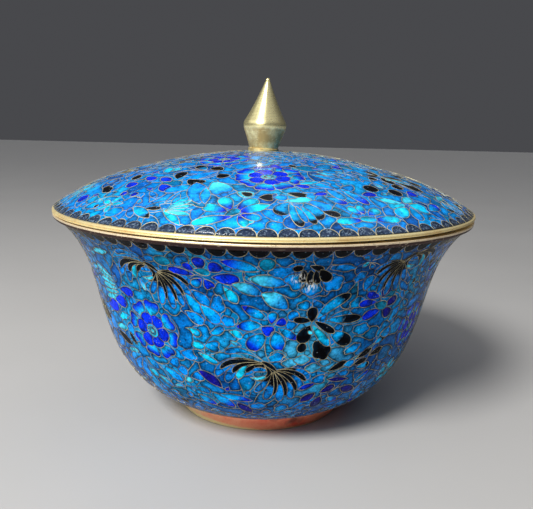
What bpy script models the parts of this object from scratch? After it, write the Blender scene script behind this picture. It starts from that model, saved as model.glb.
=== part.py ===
"""Cloisonne lidded bowl: an enamelled copper bowl on a foot ring, and a domed lid with a turned finial.

Every piece is turned about the upright axis. Lengths are in metres, and +Z is up. The bowl stands on
its foot ring at z = 0, and the lid rests on the bowl's rim.
"""

import math

import bmesh
import bpy
from mathutils import Vector

# Gap left between two pieces that touch
TOUCH_GAP = 0.0003

# Foot ring: a strip of copper, a little narrower where it stands
FOOT_HEIGHT = 0.0044
FOOT_INWARD_FLARE = 0.0024
FOOT_WALL = 0.0016
FOOT_EDGE_ROUNDING = 0.0004

# Bowl body: enamel on copper, the outside drawn through a foot point, a belly point and the lip
BOWL_FOOT_RADIUS = 0.0280
BOWL_FOOT_SLOPE = 25.0
BOWL_BELLY_RADIUS = 0.0473
BOWL_BELLY_RISE = 0.0218
BOWL_BELLY_SLOPE = 71.7
BOWL_LIP_RADIUS = 0.0610
BOWL_HEIGHT = 0.0557
BOWL_LIP_SLOPE = 44.2
BOWL_WALL = 0.0018

# Brass band round the lip of the bowl
BOWL_RIM_HEIGHT = 0.0010
BOWL_RIM_OVERHANG = 0.0014

# Brass band round the lid, a hair wider than the bowl's, with a ring below it that drops into the mouth
LID_OVERHANG = 0.0001
LID_RIM_HEIGHT = 0.00103
LID_SEAT_DEPTH = 0.0026
LID_SEAT_WALL = 0.0009
LID_SEAT_CLEARANCE = 0.0010

# Lid body: a shallow dome drawn through its edge, a shoulder point and the crown
LID_EDGE_INSET = 0.0005
LID_EDGE_SLOPE = 35.5
LID_SHOULDER_RADIUS = 0.0370
LID_SHOULDER_RISE = 0.0108
LID_SHOULDER_SLOPE = 14.6
LID_DOME_RISE = 0.0159
LID_WALL = 0.0016

# The lid sits a little high on its right-hand side, by this turn in degrees
LID_TILT = 0.15

# Finial: two cones that meet at a rounded shoulder, tipped by a small ball, leaning by some degrees
FINIAL_HEIGHT = 0.02115
FINIAL_BASE_RADIUS = 0.0043
FINIAL_SHOULDER_RADIUS = 0.0065
FINIAL_SHOULDER_RISE = 0.0073
FINIAL_SHOULDER_BELT = 0.0011
FINIAL_SHOULDER_EASE = 0.0009
FINIAL_CONE_HOLLOW = 0.0003
FINIAL_NECK_RADIUS = 0.0009
FINIAL_BALL_RADIUS = 0.00065
FINIAL_LEAN = 2.6
FINIAL_OFFSET_LEFT = 0.00055

# Rounding of a brass band's edges
BAND_ROUNDING = 0.00028

# How far each end's slope pulls a stretch of outline, as a share of the stretch
EVEN_PULL = 0.36
FOOT_PULL = 0.165
BELLY_LOWER_PULL = 0.583
BELLY_UPPER_PULL = 0.40
DOME_PULL = 0.45
CROWN_PULL = 0.30

# Steps round a turned piece, and along each stretch of its outline
STEPS_ROUND = 64
FINIAL_STEPS_ROUND = 32
BOWL_STEPS = 6
DOME_STEPS = 5
CORNER_STEPS = 2
BALL_STEPS = 3
BALL_SWEEP = 100.0

MERGE_DISTANCE = 0.00001


def clear_scene():
    """Remove whatever the open file holds."""
    for old in list(bpy.data.objects):
        bpy.data.objects.remove(old)


def finish(name, colour, roughness, metallic):
    """A Principled material of one colour."""
    made = bpy.data.materials.new(name)
    made.use_nodes = True
    shader = made.node_tree.nodes["Principled BSDF"]
    shader.inputs["Base Color"].default_value = (*colour, 1.0)
    shader.inputs["Roughness"].default_value = roughness
    shader.inputs["Metallic"].default_value = metallic
    return made


def direction(slope):
    """Unit vector in the outline's plane at this slope in degrees, where 0 leads away from the axis."""
    return Vector((math.cos(math.radians(slope)), math.sin(math.radians(slope))))


def sweep(start, start_slope, end, end_slope, steps, pulls):
    """Points of a smooth stretch from start to end that leaves and arrives at the given slopes."""
    reach = (end - start).length
    leaving = start + direction(start_slope) * reach * pulls[0]
    arriving = end - direction(end_slope) * reach * pulls[1]
    points = []
    for step in range(steps + 1):
        u = step / steps
        v = 1.0 - u
        points.append(start * v**3 + leaving * 3 * v * v * u + arriving * 3 * v * u * u + end * u**3)
    return points


def offset_inwards(outline, distance):
    """The outline moved to its left-hand side, where the hollow of a vessel is."""
    moved = []
    for index, point in enumerate(outline):
        before = outline[max(index - 1, 0)]
        after = outline[min(index + 1, len(outline) - 1)]
        along = (after - before).normalized()
        moved.append(point + Vector((-along.y, along.x)) * distance)
    return moved


def radius_at(outline, height):
    """Radius of a rising outline at a height."""
    for low, high in zip(outline, outline[1:]):
        if low.y <= height <= high.y:
            share = (height - low.y) / (high.y - low.y)
            return low.x + (high.x - low.x) * share
    return outline[-1].x


def rounded_corner(corner, before, after, radius):
    """Points of an arc that rounds a square corner between the point before it and the one after."""
    arrive = (before - corner).normalized()
    leave = (after - corner).normalized()
    centre = corner + (arrive + leave) * radius
    points = []
    for step in range(CORNER_STEPS + 1):
        turn = math.pi / 2 * step / CORNER_STEPS
        points.append(centre - leave * radius * math.cos(turn) - arrive * radius * math.sin(turn))
    return points


def turned(name, outline, material, steps=STEPS_ROUND, closed=False):
    """An outline of (radius, height) turned about the axis, down its outer side at +X.

    An open outline starts and ends on the axis. A closed one makes a ring.
    """
    mesh = bpy.data.meshes.new(name)
    work = bmesh.new()
    corners = [work.verts.new((point.x, 0.0, point.y)) for point in outline]
    for first, second in zip(corners, corners[1:]):
        work.edges.new((first, second))
    if closed:
        work.edges.new((corners[-1], corners[0]))
    work.to_mesh(mesh)
    work.free()
    mesh.materials.append(material)
    piece = bpy.data.objects.new(name, mesh)
    bpy.context.scene.collection.objects.link(piece)
    screw = piece.modifiers.new("turn", "SCREW")
    screw.axis = "Z"
    screw.angle = math.tau
    screw.steps = steps
    screw.render_steps = steps
    screw.use_merge_vertices = True
    screw.merge_threshold = MERGE_DISTANCE
    screw.use_smooth_shade = True
    return piece


def bowl_outline():
    """Outer side of the bowl body, from its underside up to the lip."""
    underside = FOOT_HEIGHT + TOUCH_GAP
    foot = Vector((BOWL_FOOT_RADIUS, underside))
    belly = Vector((BOWL_BELLY_RADIUS, underside + BOWL_BELLY_RISE))
    lip = Vector((BOWL_LIP_RADIUS, underside + BOWL_HEIGHT))
    low_pulls = (FOOT_PULL, BELLY_LOWER_PULL)
    high_pulls = (BELLY_UPPER_PULL, EVEN_PULL)
    lower = sweep(foot, BOWL_FOOT_SLOPE, belly, BOWL_BELLY_SLOPE, BOWL_STEPS, low_pulls)
    upper = sweep(belly, BOWL_BELLY_SLOPE, lip, BOWL_LIP_SLOPE, BOWL_STEPS, high_pulls)
    return lower + upper[1:]


def bowl_hollow():
    """Inner side of the bowl body, from the edge of its flat floor up to the lip."""
    outer = bowl_outline()
    inner = offset_inwards(outer, BOWL_WALL)
    floor_height = outer[0].y + BOWL_WALL
    floor_edge = Vector((radius_at(inner, floor_height), floor_height))
    lip_width = BOWL_WALL / math.sin(math.radians(BOWL_LIP_SLOPE))
    lip = outer[-1] - Vector((lip_width, 0.0))
    wall = [point for point in inner if floor_height + TOUCH_GAP < point.y < lip.y]
    return [floor_edge] + wall + [lip]


def rim_top():
    """Height of the face that the lid rests on."""
    lip_height = bowl_outline()[-1].y
    return lip_height + TOUCH_GAP + BOWL_RIM_HEIGHT


def lid_radius():
    """Radius of the lid's band, which stands a little proud of the bowl's."""
    return BOWL_LIP_RADIUS + BOWL_RIM_OVERHANG + LID_OVERHANG


def lid_outline():
    """Outer side of the dome from its edge to the crown, above the face that the band rests on."""
    base = LID_RIM_HEIGHT + TOUCH_GAP
    edge = Vector((lid_radius() - LID_EDGE_INSET, base))
    shoulder = Vector((LID_SHOULDER_RADIUS, base + LID_SHOULDER_RISE))
    crown = Vector((0.0, base + LID_DOME_RISE))
    edge_slope = 180.0 - LID_EDGE_SLOPE
    shoulder_slope = 180.0 - LID_SHOULDER_SLOPE
    side = sweep(edge, edge_slope, shoulder, shoulder_slope, DOME_STEPS, (EVEN_PULL, EVEN_PULL))
    top = sweep(shoulder, shoulder_slope, crown, 180.0, DOME_STEPS, (DOME_PULL, CROWN_PULL))
    return side + top[1:]


def make_lid_seat():
    """Empty at the left edge of the rim, turned by the lid's tilt, that carries the lid's pieces."""
    seat = bpy.data.objects.new("lid_seat", None)
    bpy.context.scene.collection.objects.link(seat)
    seat.location = (-lid_radius(), 0.0, rim_top() + TOUCH_GAP)
    seat.rotation_euler.y = -math.radians(LID_TILT)
    return seat


def rest_on_seat(piece, seat):
    """Parent a piece of the lid to the seat, centred on the bowl's axis."""
    piece.parent = seat
    piece.location.x = lid_radius()


def build_foot_ring(material):
    """Copper ring that the bowl stands on, its outer edges eased."""
    top = BOWL_FOOT_RADIUS
    bottom = BOWL_FOOT_RADIUS - FOOT_INWARD_FLARE
    ease = FOOT_EDGE_ROUNDING
    outline = [
        Vector((top - FOOT_WALL, FOOT_HEIGHT)),
        Vector((top - ease, FOOT_HEIGHT)),
        Vector((top, FOOT_HEIGHT - ease)),
        Vector((bottom, ease)),
        Vector((bottom - ease, 0.0)),
        Vector((bottom - FOOT_WALL, 0.0)),
    ]
    turned("foot_ring", outline, material, closed=True)


def build_bowl_body(material):
    """Hollow bowl with a flat floor inside and a flat underside within the foot ring."""
    outer = bowl_outline()
    hollow = bowl_hollow()
    floor_centre = Vector((0.0, hollow[0].y))
    underside_centre = Vector((0.0, outer[0].y))
    outline = [floor_centre] + hollow + outer[::-1] + [underside_centre]
    turned("bowl_body", outline, material)


def build_bowl_rim(material):
    """Brass band laid on the lip, proud of it on the outside and rounded there."""
    lip = bowl_hollow()[-1]
    low = lip.y + TOUCH_GAP
    high = rim_top()
    outer = BOWL_LIP_RADIUS + BOWL_RIM_OVERHANG
    inner_low = Vector((lip.x, low))
    inner_high = Vector((lip.x, high))
    outer_high = Vector((outer, high))
    outer_low = Vector((outer, low))
    outline = [inner_low, inner_high]
    outline += rounded_corner(outer_high, inner_high, outer_low, BAND_ROUNDING)
    outline += rounded_corner(outer_low, outer_high, inner_low, BAND_ROUNDING)
    turned("bowl_rim", outline, material, closed=True)


def build_lid_body(material, seat):
    """Hollow dome, open below, with a flat edge that stands on its band."""
    outer = lid_outline()
    inner = offset_inwards(outer, LID_WALL)
    edge_width = LID_WALL / math.sin(math.radians(LID_EDGE_SLOPE))
    edge = outer[0] - Vector((edge_width, 0.0))
    hollow = [point for point in inner[1:-1] if point.y > edge.y and point.x < edge.x]
    ceiling = outer[-1] - Vector((0.0, LID_WALL))
    lid = turned("lid_body", outer[::-1] + [edge] + hollow + [ceiling], material)
    rest_on_seat(lid, seat)


def build_lid_rim(material, seat):
    """Brass band under the dome's edge, and the ring that keeps the lid centred in the mouth."""
    mouth_radius = radius_at(bowl_hollow(), rim_top() - LID_SEAT_DEPTH)
    ring_outer = mouth_radius - LID_SEAT_CLEARANCE
    ring_inner = ring_outer - LID_SEAT_WALL
    inner_high = Vector((ring_inner, LID_RIM_HEIGHT))
    outer_high = Vector((lid_radius(), LID_RIM_HEIGHT))
    outer_low = Vector((lid_radius(), 0.0))
    ring_top = Vector((ring_outer, 0.0))
    outline = [inner_high]
    outline += rounded_corner(outer_high, inner_high, outer_low, BAND_ROUNDING)
    outline += rounded_corner(outer_low, outer_high, ring_top, BAND_ROUNDING)
    outline.append(ring_top)
    outline.append(Vector((ring_outer, -LID_SEAT_DEPTH)))
    outline.append(Vector((ring_inner, -LID_SEAT_DEPTH)))
    rim = turned("lid_rim", outline, material, closed=True)
    rest_on_seat(rim, seat)


def finial_outline():
    """The finial from the top of its ball to the middle of its underside."""
    ball_centre = FINIAL_HEIGHT - FINIAL_BALL_RADIUS
    points = [Vector((0.0, FINIAL_HEIGHT))]
    for step in range(1, BALL_STEPS + 1):
        turn = math.radians(BALL_SWEEP * step / BALL_STEPS)
        height = ball_centre + FINIAL_BALL_RADIUS * math.cos(turn)
        points.append(Vector((FINIAL_BALL_RADIUS * math.sin(turn), height)))
    neck = Vector((FINIAL_NECK_RADIUS, ball_centre - FINIAL_BALL_RADIUS))
    belt_middle = Vector((FINIAL_SHOULDER_RADIUS, FINIAL_SHOULDER_RISE))
    half_belt = Vector((0.0, FINIAL_SHOULDER_BELT / 2))
    belt_high = belt_middle + half_belt
    belt_low = belt_middle - half_belt
    base = Vector((FINIAL_BASE_RADIUS, 0.0))
    up_the_cone = (neck - belt_high).normalized()
    down_the_cone = (base - belt_low).normalized()
    outwards = Vector((up_the_cone.y, -up_the_cone.x))
    points.append(neck)
    for share in (1 / 3, 2 / 3):
        points.append(neck.lerp(belt_high, share) - outwards * FINIAL_CONE_HOLLOW)
    points.append(belt_high + up_the_cone * FINIAL_SHOULDER_EASE)
    points += [belt_high, belt_low]
    points.append(belt_low + down_the_cone * FINIAL_SHOULDER_EASE)
    points += [base, Vector((0.0, 0.0))]
    return points


def build_finial(material, seat):
    """Turned brass finial on the crown of the dome, a little off the centre and leaning to the right."""
    finial = turned("finial", finial_outline(), material, steps=FINIAL_STEPS_ROUND)
    rest_on_seat(finial, seat)
    finial.location.x -= FINIAL_OFFSET_LEFT
    finial.location.z = lid_outline()[-1].y + TOUCH_GAP
    finial.rotation_euler.y = math.radians(FINIAL_LEAN)


def build():
    clear_scene()
    bowl_enamel = finish("bowl_enamel", (0.02, 0.22, 0.55), 0.18, 0.0)
    lid_enamel = finish("lid_enamel", (0.02, 0.26, 0.60), 0.18, 0.0)
    bowl_brass = finish("bowl_brass", (0.66, 0.50, 0.24), 0.32, 1.0)
    lid_brass = finish("lid_brass", (0.74, 0.58, 0.28), 0.30, 1.0)
    finial_brass = finish("finial_brass", (0.72, 0.60, 0.31), 0.26, 1.0)
    copper = finish("copper", (0.66, 0.32, 0.20), 0.38, 1.0)
    build_foot_ring(copper)
    build_bowl_body(bowl_enamel)
    build_bowl_rim(bowl_brass)
    seat = make_lid_seat()
    build_lid_body(lid_enamel, seat)
    build_lid_rim(lid_brass, seat)
    build_finial(finial_brass, seat)


build()
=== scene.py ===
"""Looks of the cloisonne lidded bowl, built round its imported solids.

Lengths are in metres. A place on an enamelled outside is an angle in degrees round the axis, where
-90 faces the camera, and a height in millimetres along the outline: from the foot up on the bowl,
and from the edge up on the lid.
"""

import cmath
import math
import random

import bmesh
import bpy
import numpy as np
from mathutils import Matrix, Vector, noise
from mathutils.geometry import delaunay_2d_cdt
from mathutils.kdtree import KDTree


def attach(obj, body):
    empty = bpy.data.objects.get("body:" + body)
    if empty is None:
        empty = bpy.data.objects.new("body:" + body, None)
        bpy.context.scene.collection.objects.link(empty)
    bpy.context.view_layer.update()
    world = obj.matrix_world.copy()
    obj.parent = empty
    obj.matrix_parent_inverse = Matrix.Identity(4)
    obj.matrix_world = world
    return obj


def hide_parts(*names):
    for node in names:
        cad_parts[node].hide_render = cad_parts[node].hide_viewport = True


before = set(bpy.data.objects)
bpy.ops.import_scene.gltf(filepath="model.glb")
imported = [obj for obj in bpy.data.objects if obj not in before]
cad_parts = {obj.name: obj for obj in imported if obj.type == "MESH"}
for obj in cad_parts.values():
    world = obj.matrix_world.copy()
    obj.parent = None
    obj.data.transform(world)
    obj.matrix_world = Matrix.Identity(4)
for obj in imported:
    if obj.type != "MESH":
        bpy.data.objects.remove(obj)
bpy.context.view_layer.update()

# Shape of the solids, as the part's source has it
TOUCH_GAP = 0.0003
FOOT_HEIGHT = 0.0044
FOOT_INWARD_FLARE = 0.0024
FOOT_WALL = 0.0016
BOWL_FOOT_RADIUS = 0.0280
BOWL_FOOT_SLOPE = 25.0
BOWL_BELLY_RADIUS = 0.0473
BOWL_BELLY_RISE = 0.0218
BOWL_BELLY_SLOPE = 71.7
BOWL_LIP_RADIUS = 0.0610
BOWL_HEIGHT = 0.0557
BOWL_LIP_SLOPE = 44.2
BOWL_WALL = 0.0018
BOWL_RIM_HEIGHT = 0.0010
BOWL_RIM_OVERHANG = 0.0014
LID_OVERHANG = 0.0001
LID_RIM_HEIGHT = 0.00103
LID_SEAT_DEPTH = 0.0026
LID_SEAT_WALL = 0.0009
LID_SEAT_CLEARANCE = 0.0010
LID_EDGE_INSET = 0.0005
LID_EDGE_SLOPE = 35.5
LID_SHOULDER_RADIUS = 0.0370
LID_SHOULDER_RISE = 0.0108
LID_SHOULDER_SLOPE = 14.6
LID_DOME_RISE = 0.0159
LID_WALL = 0.0016
LID_TILT = 0.15
FINIAL_HEIGHT = 0.02115
FINIAL_BASE_RADIUS = 0.0043
FINIAL_BASE_FLARE = 0.00035
FINIAL_SHOULDER_RADIUS = 0.0065
FINIAL_SHOULDER_RISE = 0.0073
FINIAL_SHOULDER_BELT = 0.0011
FINIAL_SHOULDER_EASE = 0.0009
FINIAL_CONE_HOLLOW = 0.0003
FINIAL_NECK_RADIUS = 0.0009
FINIAL_BALL_RADIUS = 0.00065
FINIAL_LEAN = 2.6
FINIAL_OFFSET_LEFT = 0.00055

# How far each stretch of outline keeps to the slope at either end, as shares of its length
BOWL_LOWER_PULLS = (0.165, 0.583)
BOWL_UPPER_PULLS = (0.40, 0.36)
LID_SIDE_PULLS = (0.36, 0.36)
LID_TOP_PULLS = (0.45, 0.30)

UNDERSIDE = FOOT_HEIGHT + TOUCH_GAP
LIP_HEIGHT = UNDERSIDE + BOWL_HEIGHT
RIM_TOP = LIP_HEIGHT + TOUCH_GAP + BOWL_RIM_HEIGHT
LID_RADIUS = BOWL_LIP_RADIUS + BOWL_RIM_OVERHANG + LID_OVERHANG
LID_BASE = LID_RIM_HEIGHT + TOUCH_GAP

# Bare metal under the bowl's bead, where the enamel stops, painted dark as shade, partly oxide
BARE_SHADED_STRIP_WIDTH = 0.0005
BARE_SHADED_STRIP_THICKNESS = 0.00008

# Fineness of the enamel's mesh, in millimetres
WIRE_STEP = 0.5
GLASS_STEP = 1.15
LATTICE_CLEARANCE = 0.55
DISH_DEPTH = 0.024
DISH_REACH = 0.9
CIRCLE_STEPS = 240
WELD_DISTANCE = 2e-4
EDGE_SLACK = 0.0001

# Height that the chart of the bowl gives to its foot, in millimetres
BOWL_START = 1.5

# Smallest scraps of glass that are kept, in square millimetres
LEAST_GROUND = 1.8
LEAST_PETAL = 0.2
MELT_ROUNDS = 3

# How gladly petals and scallops take in a scrap, where the ground takes it at 1
PETAL_WELCOME = 0.12
SCALLOP_WELCOME = 0.001

# How far the painted shade and pits beside the wires fill a cell too narrow for anything else
NARROW_SHADE = 0.36

# Section of a wire, rubbed flat a little above the glass
WIRE_TOP = 0.00013
WIRE_FOOT = 0.00019
WIRE_PROUD = 0.000012
WIRE_DEPTH = 0.00012

# How much a wire's thickness varies, and how often along it
WIRE_UNEVENNESS = 0.5
WIRE_BUMPS = 260.0

# How far turned metal is out of true, and the angle from which its edges are sharp
FOOT_WOBBLE = 0.00012
BAND_WOBBLE = 0.00010
SHARP_ANGLE = 38.0
ON_AXIS = 1e-7


def srgb(red, green, blue):
    """Linear colour of a shade given as it is seen, from 0 to 255."""
    return tuple((share / 255.0) ** 2.2 for share in (red, green, blue))


def opaque(red, green, blue):
    """The same colour for a shader's socket."""
    return (*srgb(red, green, blue), 1.0)


# Glasses
COBALT = srgb(4, 44, 214)
DEEP_COBALT = srgb(24, 24, 150)
AZURE = srgb(0, 128, 226)
SKY = srgb(0, 160, 240)
CYAN = srgb(18, 196, 240)
PALE = srgb(70, 214, 250)
TEAL = srgb(6, 118, 160)
NIGHT = srgb(8, 10, 16)
SLATE = srgb(60, 74, 98)
PALE_GROUND = srgb(36, 172, 216)
COUNTER_GLASS = srgb(4, 84, 146)


def shade(heart, tip=None, change=0.5, blend=0.35):
    """Colouring of one cell: heart at its base, tip at its end, changing at a share of its length."""
    return (np.array(heart), np.array(tip if tip is not None else heart), change, blend)


SHADES = {
    "cobalt": shade(srgb(4, 66, 226), COBALT, 0.3),
    "deep": shade(DEEP_COBALT, srgb(18, 20, 128)),
    "azure": shade(AZURE, srgb(0, 136, 232)),
    "sky": shade(SKY, AZURE, 0.6),
    "cyan": shade(CYAN, SKY, 0.7),
    "pale": shade(PALE, CYAN, 0.75),
    "teal": shade(TEAL, srgb(8, 136, 180)),
    "night": shade(NIGHT),
    "slate": shade(SLATE, srgb(36, 48, 70)),
    "heart_cobalt": shade(CYAN, COBALT, 0.42, 0.3),
    "azure_cobalt": shade(SKY, COBALT, 0.62, 0.22),
    "cobalt_azure": shade(COBALT, SKY, 0.45, 0.3),
    "cobalt_cyan": shade(COBALT, CYAN, 0.4, 0.25),
    "pale_azure": shade(PALE, AZURE, 0.5, 0.4),
    "night_azure": shade(NIGHT, AZURE, 0.5, 0.05),
    "night_cyan": shade(NIGHT, CYAN, 0.45, 0.05),
    "azure_night": shade(SKY, NIGHT, 0.74, 0.06),
    "half_night": shade(SKY, NIGHT, 0.46, 0.06),
    "ground": None,
    "light_ground": shade(srgb(0, 138, 206), srgb(0, 124, 204)),
    "deep_ground": shade(srgb(0, 78, 150), srgb(0, 92, 176)),
    "teal_ground": shade(srgb(2, 116, 158), srgb(0, 106, 176)),
}

# Outlines of a cell: how narrow its base is, how pointed its ends, the notch at its tip, and its lobes
OUTLINES = {
    "oval": (0.0, 0.0, 0.0, 0),
    "petal": (0.35, 0.0, 0.0, 0),
    "leaf": (0.0, 0.8, 0.0, 0),
    "spear": (0.5, 0.6, 0.0, 0),
    "heart": (0.4, 0.0, 0.16, 0),
    "club": (1.1, 0.0, 0.0, 0),
    "lobed": (0.15, 0.0, 0.0, 5),
    "cloud": (0.0, 0.0, 0.0, 4),
}
LOBE_DEPTH = 0.20
NOTCH_SPREAD = 0.42
OUTLINE_STEPS = 72
SPINE_STEPS = 24

# Share of its pitch that a scallop fills
SCALLOP_SHARE = 0.99

# How much the brightness of a glass varies from cell to cell
GLOW = (0.82, 1.14)

# Room of a cell: steps along its spine and shares of its length, each with a share of its width
ROOM_TAKEN = ((3, 0.32), (8, 0.5), (12, 0.5), (16, 0.5), (21, 0.32))
ROOM_NEEDED = ((0.12, 0.3), (0.35, 0.5), (0.6, 0.5), (0.88, 0.3))


def direction(slope):
    """Unit vector in the outline's plane at this slope in degrees, where 0 leads away from the axis."""
    return Vector((math.cos(math.radians(slope)), math.sin(math.radians(slope))))


def sweep(start, start_slope, end, end_slope, steps, pulls):
    """Points of a smooth stretch from start to end that leaves and arrives at the given slopes."""
    reach = (end - start).length
    leaving = start + direction(start_slope) * reach * pulls[0]
    arriving = end - direction(end_slope) * reach * pulls[1]
    points = []
    for step in range(steps + 1):
        u = step / steps
        v = 1.0 - u
        points.append(start * v**3 + leaving * 3 * v * v * u + arriving * 3 * v * u * u + end * u**3)
    return points


def offset_inwards(outline, distance):
    """The outline moved to its left-hand side, where the hollow of a vessel is."""
    moved = []
    for index, point in enumerate(outline):
        before = outline[max(index - 1, 0)]
        after = outline[min(index + 1, len(outline) - 1)]
        along = (after - before).normalized()
        moved.append(point + Vector((-along.y, along.x)) * distance)
    return moved


def radius_at(outline, height):
    """Radius of a rising outline at a height."""
    for low, high in zip(outline, outline[1:]):
        if low.y <= height <= high.y:
            share = (height - low.y) / (high.y - low.y)
            return low.x + (high.x - low.x) * share
    return outline[-1].x


def bowl_outline(steps):
    """Outer side of the bowl body, from its underside up to the lip."""
    foot = Vector((BOWL_FOOT_RADIUS, UNDERSIDE))
    belly = Vector((BOWL_BELLY_RADIUS, UNDERSIDE + BOWL_BELLY_RISE))
    lip = Vector((BOWL_LIP_RADIUS, LIP_HEIGHT))
    lower = sweep(foot, BOWL_FOOT_SLOPE, belly, BOWL_BELLY_SLOPE, steps, BOWL_LOWER_PULLS)
    upper = sweep(belly, BOWL_BELLY_SLOPE, lip, BOWL_LIP_SLOPE, steps, BOWL_UPPER_PULLS)
    return lower + upper[1:]


def bowl_hollow(steps):
    """Inner side of the bowl body, from the lip down to the edge of its flat floor."""
    outer = bowl_outline(steps)
    inner = offset_inwards(outer, BOWL_WALL)
    floor_height = outer[0].y + BOWL_WALL
    floor_edge = Vector((radius_at(inner, floor_height), floor_height))
    lip_width = BOWL_WALL / math.sin(math.radians(BOWL_LIP_SLOPE))
    lip = outer[-1] - Vector((lip_width, 0.0))
    wall = [point for point in inner if floor_height + TOUCH_GAP < point.y < lip.y]
    return [lip] + wall[::-1] + [floor_edge]


def lid_outline(steps):
    """Outer side of the dome from its edge to the crown, above the face that the band rests on."""
    edge = Vector((LID_RADIUS - LID_EDGE_INSET, LID_BASE))
    shoulder = Vector((LID_SHOULDER_RADIUS, LID_BASE + LID_SHOULDER_RISE))
    crown = Vector((0.0, LID_BASE + LID_DOME_RISE))
    edge_slope = 180.0 - LID_EDGE_SLOPE
    shoulder_slope = 180.0 - LID_SHOULDER_SLOPE
    side = sweep(edge, edge_slope, shoulder, shoulder_slope, steps, LID_SIDE_PULLS)
    top = sweep(shoulder, shoulder_slope, crown, 180.0, steps, LID_TOP_PULLS)
    return side + top[1:]


def lid_seat():
    """Where the lid's own axis stands, with the lid a little high on its right-hand side."""
    at_edge = Matrix.Translation((-LID_RADIUS, 0.0, RIM_TOP + TOUCH_GAP))
    turn = Matrix.Rotation(-math.radians(LID_TILT), 4, "Y")
    return at_edge @ turn @ Matrix.Translation((LID_RADIUS, 0.0, 0.0))


def finial_seat():
    """Where the finial stands on the crown, a little off the centre and leaning to the right."""
    crown = LID_BASE + LID_DOME_RISE + TOUCH_GAP
    foot = Matrix.Translation((-FINIAL_OFFSET_LEFT, 0.0, crown))
    return lid_seat() @ foot @ Matrix.Rotation(math.radians(FINIAL_LEAN), 4, "Y")


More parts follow.
